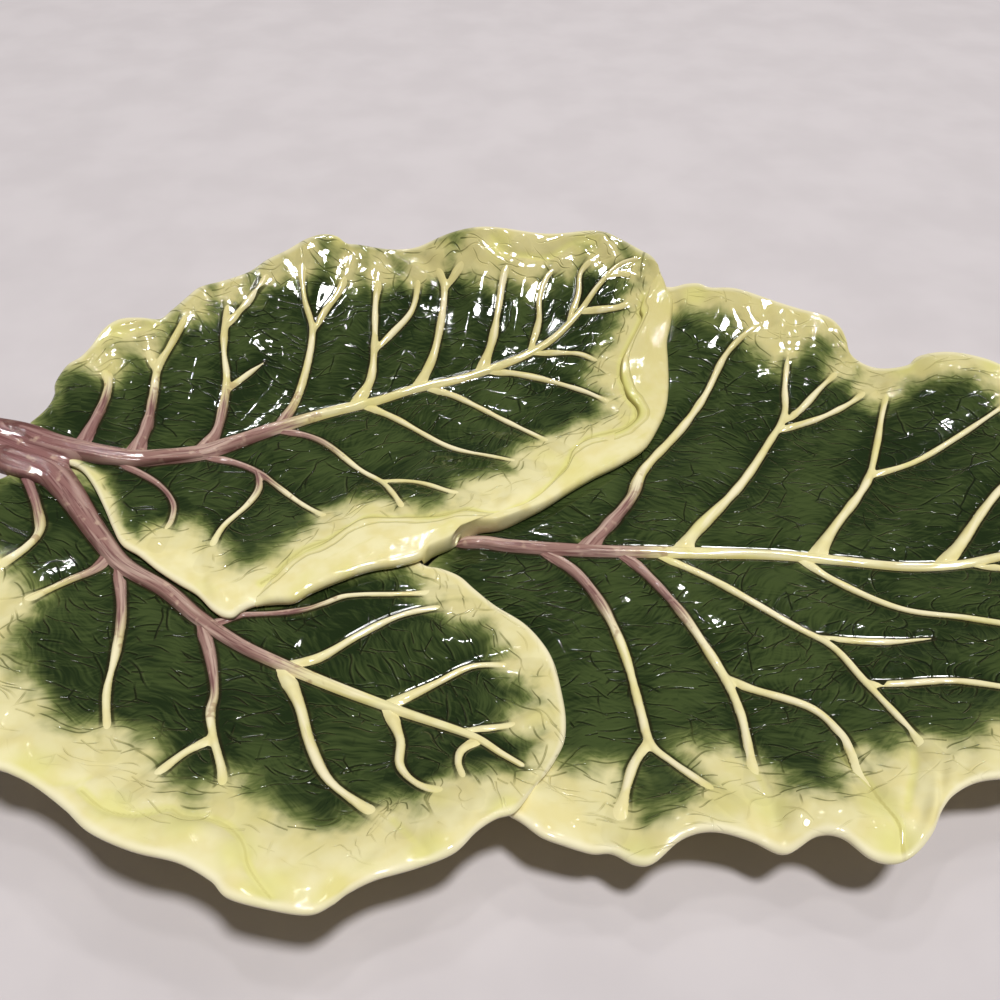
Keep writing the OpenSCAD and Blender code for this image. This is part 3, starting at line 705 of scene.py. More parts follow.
# %% Creases, fans and pools
creases = [
    (1, 1, "205 128, 222 109, 239 105, 256 114, 266 106, 278 106, 289 101, 298 89, 304 75, 308 59, "
     "315 44, 324 29"),
    (1, .5, "165 137, 180 133, 197 133, 206 142"),
    (1, .7, "383 108, 398 82, 408 64"),
    (0, 1.1, "652 190, 656 170, 661 147, 664 125, 668 100, 666 73"),
    (0, .7, "698 200, 691 168, 683 143, 675 118"),
    (0, .6, "596 175, 600 140, 602 105"),
    (0, .6, "700 822, 720 820, 740 826, 757 836"),
    (0, .7, "770 196, 786 206, 810 214, 830 226, 845 252"),
    (0, .7, "886 688, 902 700, 920 682, 934 655"),
    (2, .8, "436 985, 444 972, 455 965, 468 966, 479 965, 490 968, 499 974, 508 982, 520 986, "
     "531 988"),
    (2, .6, "98 765, 112 786, 128 798, 140 806")]
pools = [
    (1, .173, .146, 9), (1, .226, .112, 7), (1, .268, .098, 8), (1, .302, .070, 7),
    (1, .318, .036, 7), (1, .404, .075, 7), (1, .446, .112, 6), (1, .058, .345, 8),
    (1, .075, .300, 7), (0, .660, .125, 8), (0, .664, .085, 8), (0, .600, .125, 7),
    (0, .607, .205, 5), (0, .625, .914, 7), (0, .797, .775, 6), (0, .520, .080, 6),
    (0, .470, .190, 6), (0, .755, .168, 7), (0, .830, .222, 7), (0, .900, .285, 8),
    (0, .955, .372, 7), (0, .930, .672, 7), (0, .866, .748, 7), (0, .985, .520, 8),
    (2, .523, .984, 8), (2, .443, .972, 7), (2, .575, .972, 5), (2, .110, .788, 7),
    (2, .140, .815, 6), (2, .290, .968, 5), (2, .400, .985, 6)]
fan = [(0, 9, 19, .7, 2.6), (-.7, 3, 13, .45, 1.5), (.75, 3, 14, .45, 1.5)]
print("creases:", len(creases), "pools:", len(pools))

# %% What they do to the clay and to the glaze
crease_width, roll_share, roll_away, roll_width = 1.7 * mm, .6, 5 * mm, 3 * mm
puff_rise, puff_reach = 1.6 * mm, 9 * mm
puckers = [(.04, 5, 11), (.10, 11, 21), (.22, 24, 26)]
fold_rise, fold_size, fold_in, fold_reach = .5 * mm, 9 * mm, 9 * mm, 8 * mm
bead_rise, bead_size, bead_in, bead_reach = .12 * mm, 6 * mm, 4 * mm, 5 * mm


def crease_depth(places, leaf):
    """Depth of the nearest crease's groove, and the roll of clay that it pushes up beside it."""
    groove, roll = np.zeros(len(places)), np.zeros(len(places))
    for of_leaf, deep, line in creases:
        if of_leaf == leaf:
            away = nearest(places, along(spot(line_of(line)), np.linspace(0, 1, 40)))[0]
            groove = np.maximum(groove, deep * mm * bell(away, crease_width))
            roll = np.maximum(roll, deep * mm * roll_share * bell(away - roll_away, roll_width))
    return groove, roll


def fan_height(places, leaf):
    """Faint veins that fan out of the rib ends into the rim."""
    height = np.zeros(len(places))
    for s in strands_on(leaf):
        for turn, back, reach, rise, wide in fan if s.spreads else []:
            x, y = unit(s.line[-1] - s.line[-4])
            way = np.array([x * math.cos(turn) - y * math.sin(turn),
                            x * math.sin(turn) + y * math.cos(turn)])
            ray = np.stack([s.line[-6] - way * back * mm, s.line[-6] + way * (reach - back) * mm])
            window, away, run = beside(places, ray, 8 * mm)
            fade = 1 - eased((run / mm - back) / (reach - back))
            vein = rise * mm * eased(run / (back * mm)) * fade
            height[window] = np.maximum(height[window], vein * bell(away, wide * mm))
    return height


def straw_pool_and_shade(places, leaf, groove):
    """How much straw glaze lies at each place, from 0 to 1, with painted shade beside the turned
    edge's crease.
    """
    share = groove / mm * .9
    for of_leaf, x, y, reach in pools:
        if of_leaf == leaf:
            share = np.maximum(share, .75 * bell(np.hypot(*(places - spot((x, y))).T), reach * mm))
    # Beside the crease of the turned edge the straw is painted shade of the fold.
    if leaf == 2:
        share = np.maximum(share, .95 * bell(nearest(places, spot(crease))[0], 2 * mm))
    return np.minimum(share, 1)


def relief(places, leaf, gap, rim_run, rim_in, groove, roll):
    """Height that the modelled surface stands above the plain sheet."""
    gap = np.maximum(gap, 0)
    puff = puff_rise * (1 - bell(gap, puff_reach))
    pucker = sum(rise * mm * swells(places, size * mm, seed + leaf) for rise, size, seed in puckers)
    pucker *= 1 - bell(gap, 4 * mm)
    fold = fold_rise * swells(along_only(rim_run), fold_size, 31 + leaf, 8)
    fold = fold * bell(rim_in - fold_in, fold_reach)
    beading = bead_rise * swells(places, bead_size, 61 + leaf) * bell(rim_in - bead_in, bead_reach)
    free, edge_free = 1 - bell(rim_in, 7 * mm), 1 - bell(rim_in, 2.5 * mm)
    fine = beading + roll - groove + fan_height(places, leaf)
    return (puff + pucker + fold) * free + fine * edge_free


print("deepest crease, mm:", max(deep for _, deep, _ in creases))

# %% [markdown]
# ## A leaf as a bent grid
# A leaf is one closed sheet of clay. The simplest way to get it is a flat grid from
# `bmesh.ops.create_grid` that is bent round: its columns run from the left edge over the top to
# the right edge and back along the underside, and its rows run from stalk to tip. Moving the
# grid's points with numpy is quick, and the seam is then merged and the two ends are filled.
# The columns crowd at the rim, where the edge is rounded.

# %% Bend a grid into a closed skin
def placed(name, mesh):
    """Puts a mesh into the scene as an object."""
    made = bpy.data.objects.new(name, mesh)
    bpy.context.scene.collection.objects.link(made)
    return made


def written(bm, mesh):
    """Puts the points and faces of a bmesh into a mesh, and frees the bmesh."""
    bm.to_mesh(mesh)
    bm.free()
    return mesh


def write_layers(mesh, layers):
    for layer, values in layers.items():
        made = mesh.attributes.new(layer, "FLOAT", "POINT")
        made.data.foreach_set("value", values.astype(np.float32))


def skin(name, rings, layers=None):
    """A closed skin from rings of points, an array of rows by points by 3."""
    def closed(values):
        return np.concatenate([values, values[:, :1]], axis=1).reshape(-1)

    rows, ring = rings.shape[:2]
    bm = bmesh.new()
    bmesh.ops.create_grid(bm, x_segments=ring, y_segments=rows - 1, size=1)
    mesh = written(bm, bpy.data.meshes.new(name))
    mesh.vertices.foreach_set("co", closed(rings))
    write_layers(mesh, {layer: closed(values) for layer, values in (layers or {}).items()})
    bm = bmesh.new()
    bm.from_mesh(mesh)
    bm.verts.ensure_lookup_table()
    seam = [bm.verts[r * (ring + 1) + k] for r in range(rows) for k in (0, ring)]
    bmesh.ops.remove_doubles(bm, verts=seam, dist=1e-8)
    ends = [e for e in bm.edges if e.is_boundary]
    caps = bmesh.ops.holes_fill(bm, edges=ends, sides=0)["faces"]
    bmesh.ops.triangulate(bm, faces=caps)
    bmesh.ops.recalc_face_normals(bm, faces=bm.faces)
    written(bm, mesh).shade_smooth()
    return placed(name, mesh)


# %% Rows and columns of a leaf
leaf_row_count, top_columns, under_columns = 316, 104, 14
edge_steps = np.array([0, .12, .35, .7, 1.15, 1.7, 2.4, 3.3]) * mm
end_rows = np.array([0, .0012, .003, .006])
first_row = .010
narrow, crowding = 12 * mm, 1.15


def insets(wide, count):
    """Distances from the edge for the columns of one side, for each row."""
    squeeze = np.minimum(1, wide / narrow)
    at_edge = edge_steps[None, :] * squeeze[:, None]
    rest = np.linspace(0, 1, count + 1)[1:]
    inner = at_edge[:, -1:] + (wide[:, None] - at_edge[:, -1:]) * rest[None, :] ** crowding
    return np.concatenate([at_edge, inner], axis=1)


def leaf_columns(mid, edges_of_leaf, count, top):
    """Places, distances from the rim and runs along it, for the columns of one face of a leaf."""
    sides = []
    for edge, shift in zip(edges_of_leaf, (0, 1)):
        wide = np.hypot(*(edge - mid).T)
        inset = insets(wide, count)
        share = 1 - inset / wide[:, None]
        run = np.repeat(run_of(edge)[:, None], inset.shape[1], 1) + shift
        sides.append((mixed(mid[:, None], edge[:, None], share[..., None]), inset, run))
    face = [np.concatenate([left, right[:, -2::-1]], axis=1) for left, right in zip(*sides)]
    if not top:
        face = [values[:, -2:0:-1] for values in face]
    return face + [np.full(face[1].shape, top)]


around = 2 * (top_columns + under_columns + 2 * len(edge_steps) - 2)
print("a leaf has", leaf_row_count, "rows of", around, "points")

# %% [markdown]
# The sheet gets its top from the dish and from what is modelled on it, its underside from the
# thickness of the clay, and a rounded edge between the two. It also carries layers of numbers
# for its glaze: how deep in the green a place lies, how far it is from a rib and from the rim,
# how much straw glaze pools there, with painted shade beside the crease of the turned edge,
# and which way the fine veins run.

# %% One leaf as a sheet
edge_zone, edge_radius = 8 * mm, 1.7 * mm
cover_margin, cover_fade, head_room = 1 * mm, 5 * mm, .2 * mm


def leaf_sheet(name, leaf, mid, left, right, covered=()):
    """A leaf as a closed sheet. `covered` holds the edges of the leaves that lie on it."""
    inner_rows = np.linspace(first_row, 1 - first_row, leaf_row_count - 2 * len(end_rows))
    rows = np.concatenate([end_rows, inner_rows, 1 - end_rows[::-1]])
    mid, left, right = (spot(along(line, rows)) for line in (mid, left, right))
    faces = [leaf_columns(mid, (left, right), count, top)
             for count, top in ((top_columns, 1), (under_columns, 0))]
    places, rim_in, rim_run, on_top = (np.concatenate(pair, axis=1) for pair in zip(*faces))
    shape = rim_in.shape
    flat, on_top = places.reshape(-1, 2), on_top.reshape(-1)
    run, inset = rim_run.reshape(-1), rim_in.reshape(-1)

    # The sheet, and what is modelled on its top where nothing lies on it
    top = leaf_top(leaf, flat)
    under = leaf_under(leaf, flat, top, inset)
    gap = rib_gap(flat, leaf)
    groove, roll = crease_depth(flat, leaf)
    raised = relief(flat, leaf, gap, run, inset, groove, roll)
    for line in covered:
        raised *= eased((nearest(flat, line)[0] - cover_margin) / cover_fade)
    raised = np.minimum(raised, np.maximum(cad_high[2] - head_room - top, 0))
    top = top + raised * on_top

    # The rounded edge
    close = inset < edge_zone
    away = np.full(len(flat), far)
    away[close] = nearest(flat[close], np.vstack([left, right[::-1], left[:1]]))[0]
    bulge = np.sqrt(1 - (1 - np.clip(away / edge_radius, .02, 1)) ** 2)
    half = (top - under) / 2
    z = (top + under) / 2 + np.where(on_top == 1, half, -half) * bulge

    # What the glaze wants to know
    green = np.where(on_top == 1, green_depth(flat, leaf), -deepest_green)
    layers = {"green": green, "rib_gap": gap, "rim_run": run, "rim_in": inset,
              "pool": straw_pool_and_shade(flat, leaf, groove) * on_top, "vein_way": vein_way(flat, leaf)}
    piece = skin(name, np.concatenate([flat, z[:, None]], axis=1).reshape(*shape, 3),
                 {layer: values.reshape(shape) for layer, values in layers.items()})
    print(name, "points", len(piece.data.vertices), "faces", len(piece.data.polygons))
    return piece


# %% Make the three leaves
right_leaf = leaf_sheet("right_leaf_sheet", 0, right_mid, *edges[0], covered=(back_lap, front_lap))
front_leaf = leaf_sheet("front_leaf_sheet", 1, front_mid, *edges[1], covered=(back_lap,))
back_leaf = leaf_sheet("back_leaf_sheet", 2, back_mid, *edges[2])

# %% [markdown]
# ## Ribs
# A rib is a low arch that is swept along its line. The arch stands on the leaf and reaches a
# little into it, so that no gap shows at its foot. Where a rib forks, its strands overlap, and
# a voxel remesh melts them into one form with a soft web in the fork, as a wet finger leaves
# it. The main ribs don't fork, so they keep their clean rows, and fine grooves run along them.

# %% Sweep an arch along a line
rib_sunk, rib_drop, rib_lowered = .8 * mm, .7 * mm, .12 * mm
lean_reach, soft_reach, soft_end, drop_reach = 7 * mm, 5 * mm, 13 * mm, 12 * mm


def flutes(u, wide, run, size, seed, count):
    """Fine ridges along a bar, for each point of its rings."""
    across = (u[None, :] * wide[:, None] / 2).reshape(-1)
    places = np.stack([across, np.repeat(run, len(u))], axis=1)
    return swells(places, size, seed, count).reshape(len(run), len(u))


def arch_rings(leaf, s, drop=None, around=17, grooves=0.0, seed=0):
    """Rings of points round a strand: an arch above the leaf and a flat bottom inside it."""
    left, run = leftward(s.line), run_of(s.line)
    if drop is not None:
        left = mixed(s.lean, left, eased((run - s.past) / lean_reach)[:, None])
        left /= np.hypot(*left.T)[:, None]
    to_end = run[-1] - run
    tip = np.sqrt(np.clip(1 - (1 - np.clip(to_end / (s.wide * .6), 0, 1)) ** 2, .03, 1))

    # The arch grows softer, with a hollow foot, where it leaves its parent and where it sinks
    soft = np.exp(-np.maximum(run - s.past, 0) / soft_reach) if drop is not None else 0 * run
    web = np.maximum(soft, bell(to_end, soft_end) if drop else 0)[:, None]
    u = np.cos(np.linspace(0, math.pi, around))
    v = np.maximum(0, 1 - np.abs(u)[None, :] ** (2.2 - .9 * web)) ** (.85 + .8 * web)
    u = np.concatenate([u, [-.8, -.3, .3, .8]])
    above = np.concatenate([v, np.zeros((len(run), 4))], axis=1)
    below = np.concatenate([np.zeros(around), np.ones(4)])

    places = s.line[:, None] + left[:, None] * (s.wide * tip)[:, None, None] / 2 * u[None, :, None]
    base = leaf_top(leaf, places.reshape(-1, 2)).reshape(len(run), -1)
    base = base - (drop or 0) * (1 - eased(to_end / drop_reach))[:, None]
    rise = (s.high * tip)[:, None] * above
    if grooves:
        rise = rise + grooves * flutes(u, s.wide, run / 14, 1.3 * mm, seed, 8) * above ** .5
    z = base + rise - rib_sunk * below[None, :] - rib_lowered
    return np.concatenate([places, z[..., None]], axis=2)


print("a rib reaches", round((rib_sunk + rib_lowered) / mm, 2), "mm into its leaf")

# %% Melt the strands of a rib together
def melted(name, parts, voxel, rounds):
    """Joins overlapping closed parts into one skin and softens it."""
    bm = bmesh.new()
    for part in parts:
        bm.from_mesh(part.data)
        bpy.data.objects.remove(part)
    mesh = written(bm, bpy.data.meshes.new(name))
    piece = placed(name, mesh)
    remesh = piece.modifiers.new("melt", "REMESH")
    remesh.mode, remesh.voxel_size = "VOXEL", voxel
    depsgraph = bpy.context.evaluated_depsgraph_get()
    solid = bpy.data.meshes.new_from_object(piece.evaluated_get(depsgraph))
    piece.modifiers.clear()
    bm = bmesh.new()
    bm.from_mesh(solid)
    for _ in range(rounds):
        bmesh.ops.smooth_vert(bm, verts=bm.verts, factor=.5,
                              use_axis_x=True, use_axis_y=True, use_axis_z=True)
    written(bm, mesh).shade_smooth()
    return piece


print("strands of the first side rib:", len(ribs["right_rib_1"][1]))

# %% [markdown]
# The rib's glaze needs five layers: `run` and `across` follow the rib, `ridge` is 0 at its foot
# and 1 on its top, `lost` tells where it melts into the cream, and `rose` how rosy it is. The
# rose of the stalk runs out into the main ribs and into the feet of the side ribs near it, then
# fades to cream. For each rosy rib the place is noted where half of the rose is left.

# %% Layers of a rib
rose_fade, no_rose = 22 * mm, -20 * mm
lost_at, lost_over = 7 * mm, 12 * mm
rose_until = {
    "right_midrib": (.555, .473), "front_midrib": (.305, .297), "back_midrib": (.270, .695),
    "right_rib_1": (.550, .570), "right_rib_6": (.520, .375), "right_rib_7": (.575, .370),
    "back_rib_1": (.117, .690), "back_rib_2": (.151, .705), "back_rib_3": (.207, .715),
    "back_rib_4": (.264, .722), "back_rib_12": (.195, .500), "back_rib_13": (.262, .580),
    "back_rib_14": (.300, .657), "front_rib_1": (.104, .475), "front_rib_2": (.142, .400),
    "front_rib_3": (.184, .335), "front_rib_4": (.259, .250), "front_rib_8": (.312, .386)}


def rose_run(name, line):
    """How far along a rib its rose reaches."""
    return nearest(spot([rose_until[name]]), line)[1][0] if name in rose_until else no_rose


def rib_layers(piece, strands, rose_end, at_feet):
    mesh = piece.data
    co = np.empty(3 * len(mesh.vertices))
    mesh.vertices.foreach_get("co", co)
    flat = co.reshape(-1, 3)[:, :2]
    best, run, across, ridge, lost = np.full(len(flat), far), *np.zeros((4, len(flat)))
    for s in strands:
        away, at, side = nearest(flat, s.line)
        closer = away < best
        best[closer] = away[closer]
        run[closer], across[closer] = (s.first + at)[closer], (away * side)[closer]
        ridge[closer] = np.clip(1 - away / width_at(s, at) * 2, 0, 1)[closer]
        sunk = 1 - eased((run_of(s.line)[-1] - at - lost_at) / lost_over)
        lost[closer] = (s.spreads * sunk)[closer]
    for place, wide in at_feet:
        lost = np.maximum(lost, 1.1 * bell(np.hypot(*(flat - place).T), wide * .8))
    rose = 1 - eased((run - rose_end + rose_fade) / (2 * rose_fade))
    write_layers(mesh, {"run": run, "across": across, "rose": rose, "ridge": ridge, "lost": lost})


print("ribs with rose:", len(rose_until))

# %% Make the ribs
rib_voxel, stalk_voxel = .42 * mm, .5 * mm
rib_pieces = {}
for name, (leaf, strands) in ribs.items():
    if name.endswith("midrib"):
        rings = arch_rings(leaf, strands[0], around=31, grooves=.13 * mm, seed=40 + leaf)
        piece = skin(name + "_form", rings)
    else:
        parts = [skin(name + "_part", arch_rings(leaf, s, rib_drop * s.spreads)) for s in strands]
        piece = melted(name + "_form", parts, rib_voxel, 4)
    rib_layers(piece, strands, rose_run(name, strands[0].line), feet[leaf])
    rib_pieces[name] = piece
print("faces on all ribs:", sum(len(p.data.polygons) for p in rib_pieces.values()))

# %% [markdown]
# ## The stalk
# At the left the ribs of the back and front leaves gather into one thick stalk. It is a
# flattened bar, and it divides over the first stretch of the two main ribs that leave it. Three
# sweeps that overlap, melted into one, give that fork.

# %% Sweep a flattened bar
def bar_lift(line):
    return dish(back_to_shares(line)) + lap_step / 2


def bar_rings(line, wide, high, lift, seed, around=48):
    """Rings of points round a flattened, fluted bar whose middle runs at the height `lift`."""
    turn = np.linspace(0, 2 * math.pi, around, endpoint=False)
    u = np.sign(np.cos(turn)) * np.abs(np.cos(turn)) ** .8
    v = np.sign(np.sin(turn)) * np.abs(np.sin(turn)) ** .7
    places = line[:, None] + leftward(line)[:, None] * (wide / 2)[:, None, None] * u[None, :, None]
    fluted = .40 * mm * flutes(u, wide, run_of(line) / 12, 2.4 * mm, seed, 10)
    z = lift[:, None] + (high / 2)[:, None] * v[None, :] + fluted * np.maximum(v, 0)[None, :]
    return np.concatenate([places, z[..., None]], axis=2)


def horn(name, leaf, first, wide_from, seed):
    """A strand of the stalk that bends into a main rib and thins until it is lost in it."""
    line = along(spot(first + midribs[name][1][:5]), np.linspace(0, 1, 110))
    t = run_of(line) / run_of(line)[-1]
    rib = ribs[name][1][0]
    end_wide = width_at(rib, nearest(line, rib.line)[1])
    wide = mixed(wide_from, end_wide * .90, eased((t - .30) / .70))
    high = mixed(9.4 * mm, end_wide * .52, eased((t - .20) / .80))
    lift = mixed(bar_lift(line), leaf_top(leaf, line), eased((t - .30) / .5))
    return bar_rings(line, wide, high, lift, seed)


print("the stalk's middle is", (bar_lift(spot([(.03, .58)])) / mm).round(1), "mm high near its end")

# %% Make the stalk
core_line = spot(along(line_of("1.5 580, 20 581, 60 578, 110 566"), np.linspace(0, 1, 50)))
core_wide, core_high = np.linspace(17, 9, 50) * mm, np.linspace(9.2, 2.6, 50) * mm
back_horn = horn("back_midrib", 2, line_of("1.5 589, 22 591, 46 593"), 12 * mm, 52)
front_horn = horn("front_midrib", 1, line_of("1.5 567, 22 568, 46 565"), 15.5 * mm, 53)
core = bar_rings(core_line, core_wide, core_high, bar_lift(core_line), 51)
parts = [skin("core_part", core), skin("horn_part_a", back_horn), skin("horn_part_b", front_horn)]
stalk = melted("stalk_form", parts, stalk_voxel, 14)
all_rose, stalk_run = 1.0, 30 * mm
strands = [Strand(core_line, core_wide * 1.5, None)]
for name in ("back_midrib", "front_midrib"):
    strands.append(Strand(*ribs[name][1][0][:3], first=stalk_run))
rib_layers(stalk, strands, all_rose, feet[1] + feet[2])
print("stalk faces", len(stalk.data.polygons))

# %% [markdown]
# ## The turned edge
# Along its free side the back leaf is folded over, so a smooth cream band lies on it. The band
# is swept from the crease to the leaf's edge, rounds over that edge and ends on the leaf
# below. It is slightly puffed, because folded clay never lies flat.

# %% Make the turned edge
edge_round, overhang = 2.2 * mm, 2.45 * mm
lip_rise, lip_reach, into_leaf = 1.25 * mm, 1.3 * mm, 1.2 * mm
band_puff, band_bump, band_bump_size = 1.1 * mm, .25 * mm, 14 * mm
front_leaf_ends = .386


def turned_edge():
    rows = np.linspace(0, 1, 330)
    inner, outer = spot(along(crease, rows)), spot(along(back_turn[::-1], rows))
    wide = np.hypot(*(outer - inner).T)
    out = (outer - inner) / wide[:, None]
    on_right = back_to_shares(outer)[:, 0] > front_leaf_ends
    low = np.where(on_right, leaf_top(0, outer), leaf_top(1, outer)) + slip

    # The puffed top, from the crease outwards
    across = np.linspace(0, 1, 30)
    body = across[None, :] * (wide - edge_round)[:, None]
    places = inner[:, None] + out[:, None] * body[..., None]
    flat = places.reshape(-1, 2)
    base = leaf_top(2, flat).reshape(body.shape)
    puff = band_puff * np.sin(math.pi * np.clip(body / wide[:, None], 0, 1)) ** .8
    hills = swells(flat, band_bump_size, 77).reshape(body.shape)
    bump = band_bump * hills * np.sin(math.pi * across)[None, :]
    lip = np.minimum(1, np.sqrt(np.clip(body / lip_reach, 0, 1)) + .12)
    rows_free = (eased(rows / .045) * eased((1 - rows) / .03))[:, None]
    tops = base + (lip_rise * lip + puff + bump) * mixed(.12, 1, rows_free)

    # The half round over the edge, down to the leaf below
    end_top = tops[:, -1]
    turn = np.linspace(math.pi / 2, -math.pi / 2, 12)[1:]
    swing = np.cos(turn)[None, :, None] * overhang
    round_xy = (outer - out * edge_round)[:, None] + out[:, None] * swing
    middle_z, half = ((end_top + low) / 2)[:, None], ((end_top - low) / 2)[:, None]
    round_z = middle_z + half * np.sin(turn)[None, :]

    # The way back inside the back leaf
    way_back = np.array([.75, .35, .02])[None, :] * (wide - edge_round)[:, None]
    back_xy = inner[:, None] + out[:, None] * way_back[..., None]
    back_z = leaf_top(2, back_xy.reshape(-1, 2)).reshape(way_back.shape) - into_leaf

    xy = np.concatenate([places, round_xy, back_xy], axis=1)
    z = np.concatenate([tops, round_z, back_z], axis=1)
    beyond = np.ones(round_z.shape) * wide[:, None]
    from_crease = np.concatenate([body, beyond, np.zeros(back_z.shape)], axis=1)
    run = np.repeat(run_of(outer)[:, None], xy.shape[1], 1)
    rings = np.concatenate([xy, z[..., None]], axis=2)
    return skin("back_leaf_turned_edge", rings, {"from_crease": from_crease, "rim_run": run})


turned = turned_edge()
print("turned edge points", len(turned.data.vertices))

# %% [markdown]
# ## The foot ring
# The platter stands on a low ring with half-round ends. It starts as two circles whose halves
# are moved apart. They are bridged into a flat ring, which is extruded up, and the two lower
# edges are bevelled, because a potter sponges the standing edge round.

# %% Make the foot ring
foot_bevel, tiny = 2 * mm, 1e-6


def foot_ring():
    bm = bmesh.new()
    shift = (foot_length - foot_width) / 2
    for size in (foot_width / 2, foot_width / 2 - foot_wall):
        for v in bmesh.ops.create_circle(bm, segments=160, radius=size)["verts"]:
            v.co.x += shift if v.co.x > tiny else -shift if v.co.x < -tiny else 0
    bmesh.ops.bridge_loops(bm, edges=bm.edges)
    grown = bmesh.ops.extrude_face_region(bm, geom=bm.faces)["geom"]
    upper = [g for g in grown if isinstance(g, bmesh.types.BMVert)]
    bmesh.ops.translate(bm, verts=upper, vec=(0, 0, foot_height))
    bmesh.ops.recalc_face_normals(bm, faces=bm.faces)
    lower = [e for e in bm.edges
             if all(v.co.z < tiny for v in e.verts) and e.calc_face_angle(0) > 1]
    bmesh.ops.bevel(bm, geom=lower, offset=foot_bevel, affect="EDGES",
                    segments=4, profile=.5, material=-1)
    mesh = written(bm, bpy.data.meshes.new("foot_ring_form"))
    mesh.shade_smooth()
    return placed("foot_ring_form", mesh)


foot = foot_ring()
print("foot ring faces", len(foot.data.polygons))

# %% [markdown]
# ## Building a glaze from nodes
# A material is a graph of nodes. Wiring them one by one makes long code, so `Glaze` holds the
# graph and each of its calls adds one node and returns the socket that comes out of it. Numbers
# and sockets can be mixed freely as inputs.

# %% A small helper for nodes
def colour(r, g, b):
    """A colour as a painter's chart gives it, 0 to 255, turned into light."""
    light = [((c / 255 + .055) / 1.055) ** 2.4 if c > 10 else c / 255 / 12.92 for c in (r, g, b)]
    return (*light, 1.0)


class Glaze:
    def __init__(self, name):
        self.material = bpy.data.materials.new(name)
        self.material.use_nodes = True
        self.tree = self.material.node_tree
        self.shader = self.tree.nodes["Principled BSDF"]

    def give(self, socket, value):
        """Links a socket to an input, or sets it to a constant."""
        if isinstance(value, bpy.types.NodeSocket):
            self.tree.links.new(value, socket)
        else:
            socket.default_value = value

    def node(self, kind, inputs, out=0, **settings):
        made = self.tree.nodes.new("ShaderNode" + kind)
        for key, value in settings.items():
            setattr(made, key, value)
        for key, value in inputs.items():
            self.give(made.inputs[key], value)
        return made.outputs[out]

    def math(self, operation, *values):
        return self.node("Math", dict(enumerate(values)), operation=operation)

    def plus(self, a, b):
        return self.math("ADD", a, b)

    def minus(self, a, b):
        return self.math("SUBTRACT", a, b)

    def times(self, a, b):
        return self.math("MULTIPLY", a, b)

    def size(self, a):
        return self.math("ABSOLUTE", a)

    def vector(self, operation, *values, **more):
        return self.node("VectorMath", {**dict(enumerate(values)), **more}, operation=operation)

    def mix(self, share, a, b):
        return self.node("Mix", {0: share, 6: a, 7: b}, 2, data_type="RGBA", blend_type="MIX")

    def ramp(self, value, low, high, to_low=0.0, to_high=1.0):
        """Eases from to_low to to_high while the value goes from low to high."""
        return self.node("MapRange", {"Value": value, "From Min": low, "From Max": high,
                                      "To Min": to_low, "To Max": to_high},
                         interpolation_type="SMOOTHSTEP")

    def layer(self, name):
        return self.node("Attribute", {}, "Fac", attribute_name=name)

    def noise(self, place, size, detail=2.0, rough=.5):
        """Noise between about 0 and 1 with blobs about `size` across."""
        return self.node("TexNoise", {"Vector": place, "Scale": 1 / size,
                                      "Detail": detail, "Roughness": rough})

    def cells(self, place, size, **settings):
        """The node of a Voronoi texture with flat cells about `size` across."""
        return self.node("TexVoronoi", {"Vector": place, "Scale": 1 / size},
                         voronoi_dimensions="2D", **settings).node

    def parts(self, kind, value):
        """The three numbers that a place or a colour is made of."""
        inputs = {"Vector" if kind == "XYZ" else kind: value}
        return self.node(f"Separate{kind}", inputs).node.outputs

    def rotated(self, place, angle):
        return self.node("VectorRotate", {"Vector": place, "Angle": angle}, rotation_type="Z_AXIS")

    def bump(self, height, distance):
        return self.node("Bump", {"Height": height, "Distance": distance, "Strength": 1.0})

    def here(self):
        return self.node("TexCoord", {}, "Object")

    def pair(self, x, y):
        return self.node("CombineXYZ", {"X": x, "Y": y})

    def set(self, **values):
        for key, value in values.items():
            self.give(self.shader.inputs[key.replace("_", " ")], value)
        return self.material


print("colour test:", [round(c, 3) for c in colour(225, 215, 160)])

# %% [markdown]
# ## Scratched strokes
# Close up, the green is full of thin, slightly bent strokes where the potter drew veins into
# the clay and dark glaze ran into them. One stroke can be drawn from a distance: it is dark
# where a place is near a short line. A Voronoi texture scatters cells, and each cell gives its
# own centre and random numbers, so each can hold one stroke. Like the fine veins of a cabbage
# leaf, the strokes lie about square to the side ribs, each a little off by chance. A few layers
# of such cells in different sizes give the tangle of the real surface.

# %% Strokes and hairs from Voronoi cells
most_bent = 34.0
most_askew = 1.4
hair_stretch = (.09, 1.0, 0.0)


def strokes(g, place, way, cell, long, wide, spread, share, shift):
    """A dark line and a painted highlight beside it, one stroke in most cells, about along the
    veins.
    """
    moved = g.vector("ADD", place, (shift, shift * 1.7, 0))
    cells = g.cells(moved, cell, feature="F1")
    chance = g.parts("Color", cells.outputs["Color"])
    local = g.vector("SUBTRACT", moved, cells.outputs["Position"])
    angle = g.minus(g.math("MULTIPLY_ADD", chance[0], spread, -spread / 2), way)
    x, y, _ = g.parts("XYZ", g.rotated(local, angle))
    bend = g.times(g.minus(chance[1], .5), most_bent)
    y = g.plus(y, g.times(bend, g.times(x, x)))
    seen = g.math("LESS_THAN", chance[2], share)
    reach = g.times(g.ramp(g.size(x), long / 2, long * .15), seen)
    dark = g.times(g.ramp(g.size(y), wide * .8, wide * .15), reach)
    # The light line beside the dark one is a painted highlight on the edge of the groove.
    light = g.times(g.ramp(g.size(g.minus(y, wide * 1.3)), wide * .8, wide * .1), reach)
    return dark, light


def veins(g, place, cell, wide, seen):
    """A net of thin lines between the cells of a Voronoi texture, shown in patches."""
    edge = g.cells(place, cell, feature="DISTANCE_TO_EDGE").outputs["Distance"]
    line = g.ramp(edge, wide / cell, wide / cell * .2)
    return g.times(line, g.ramp(g.noise(place, cell * .9, 1.0), seen, seen + .10))


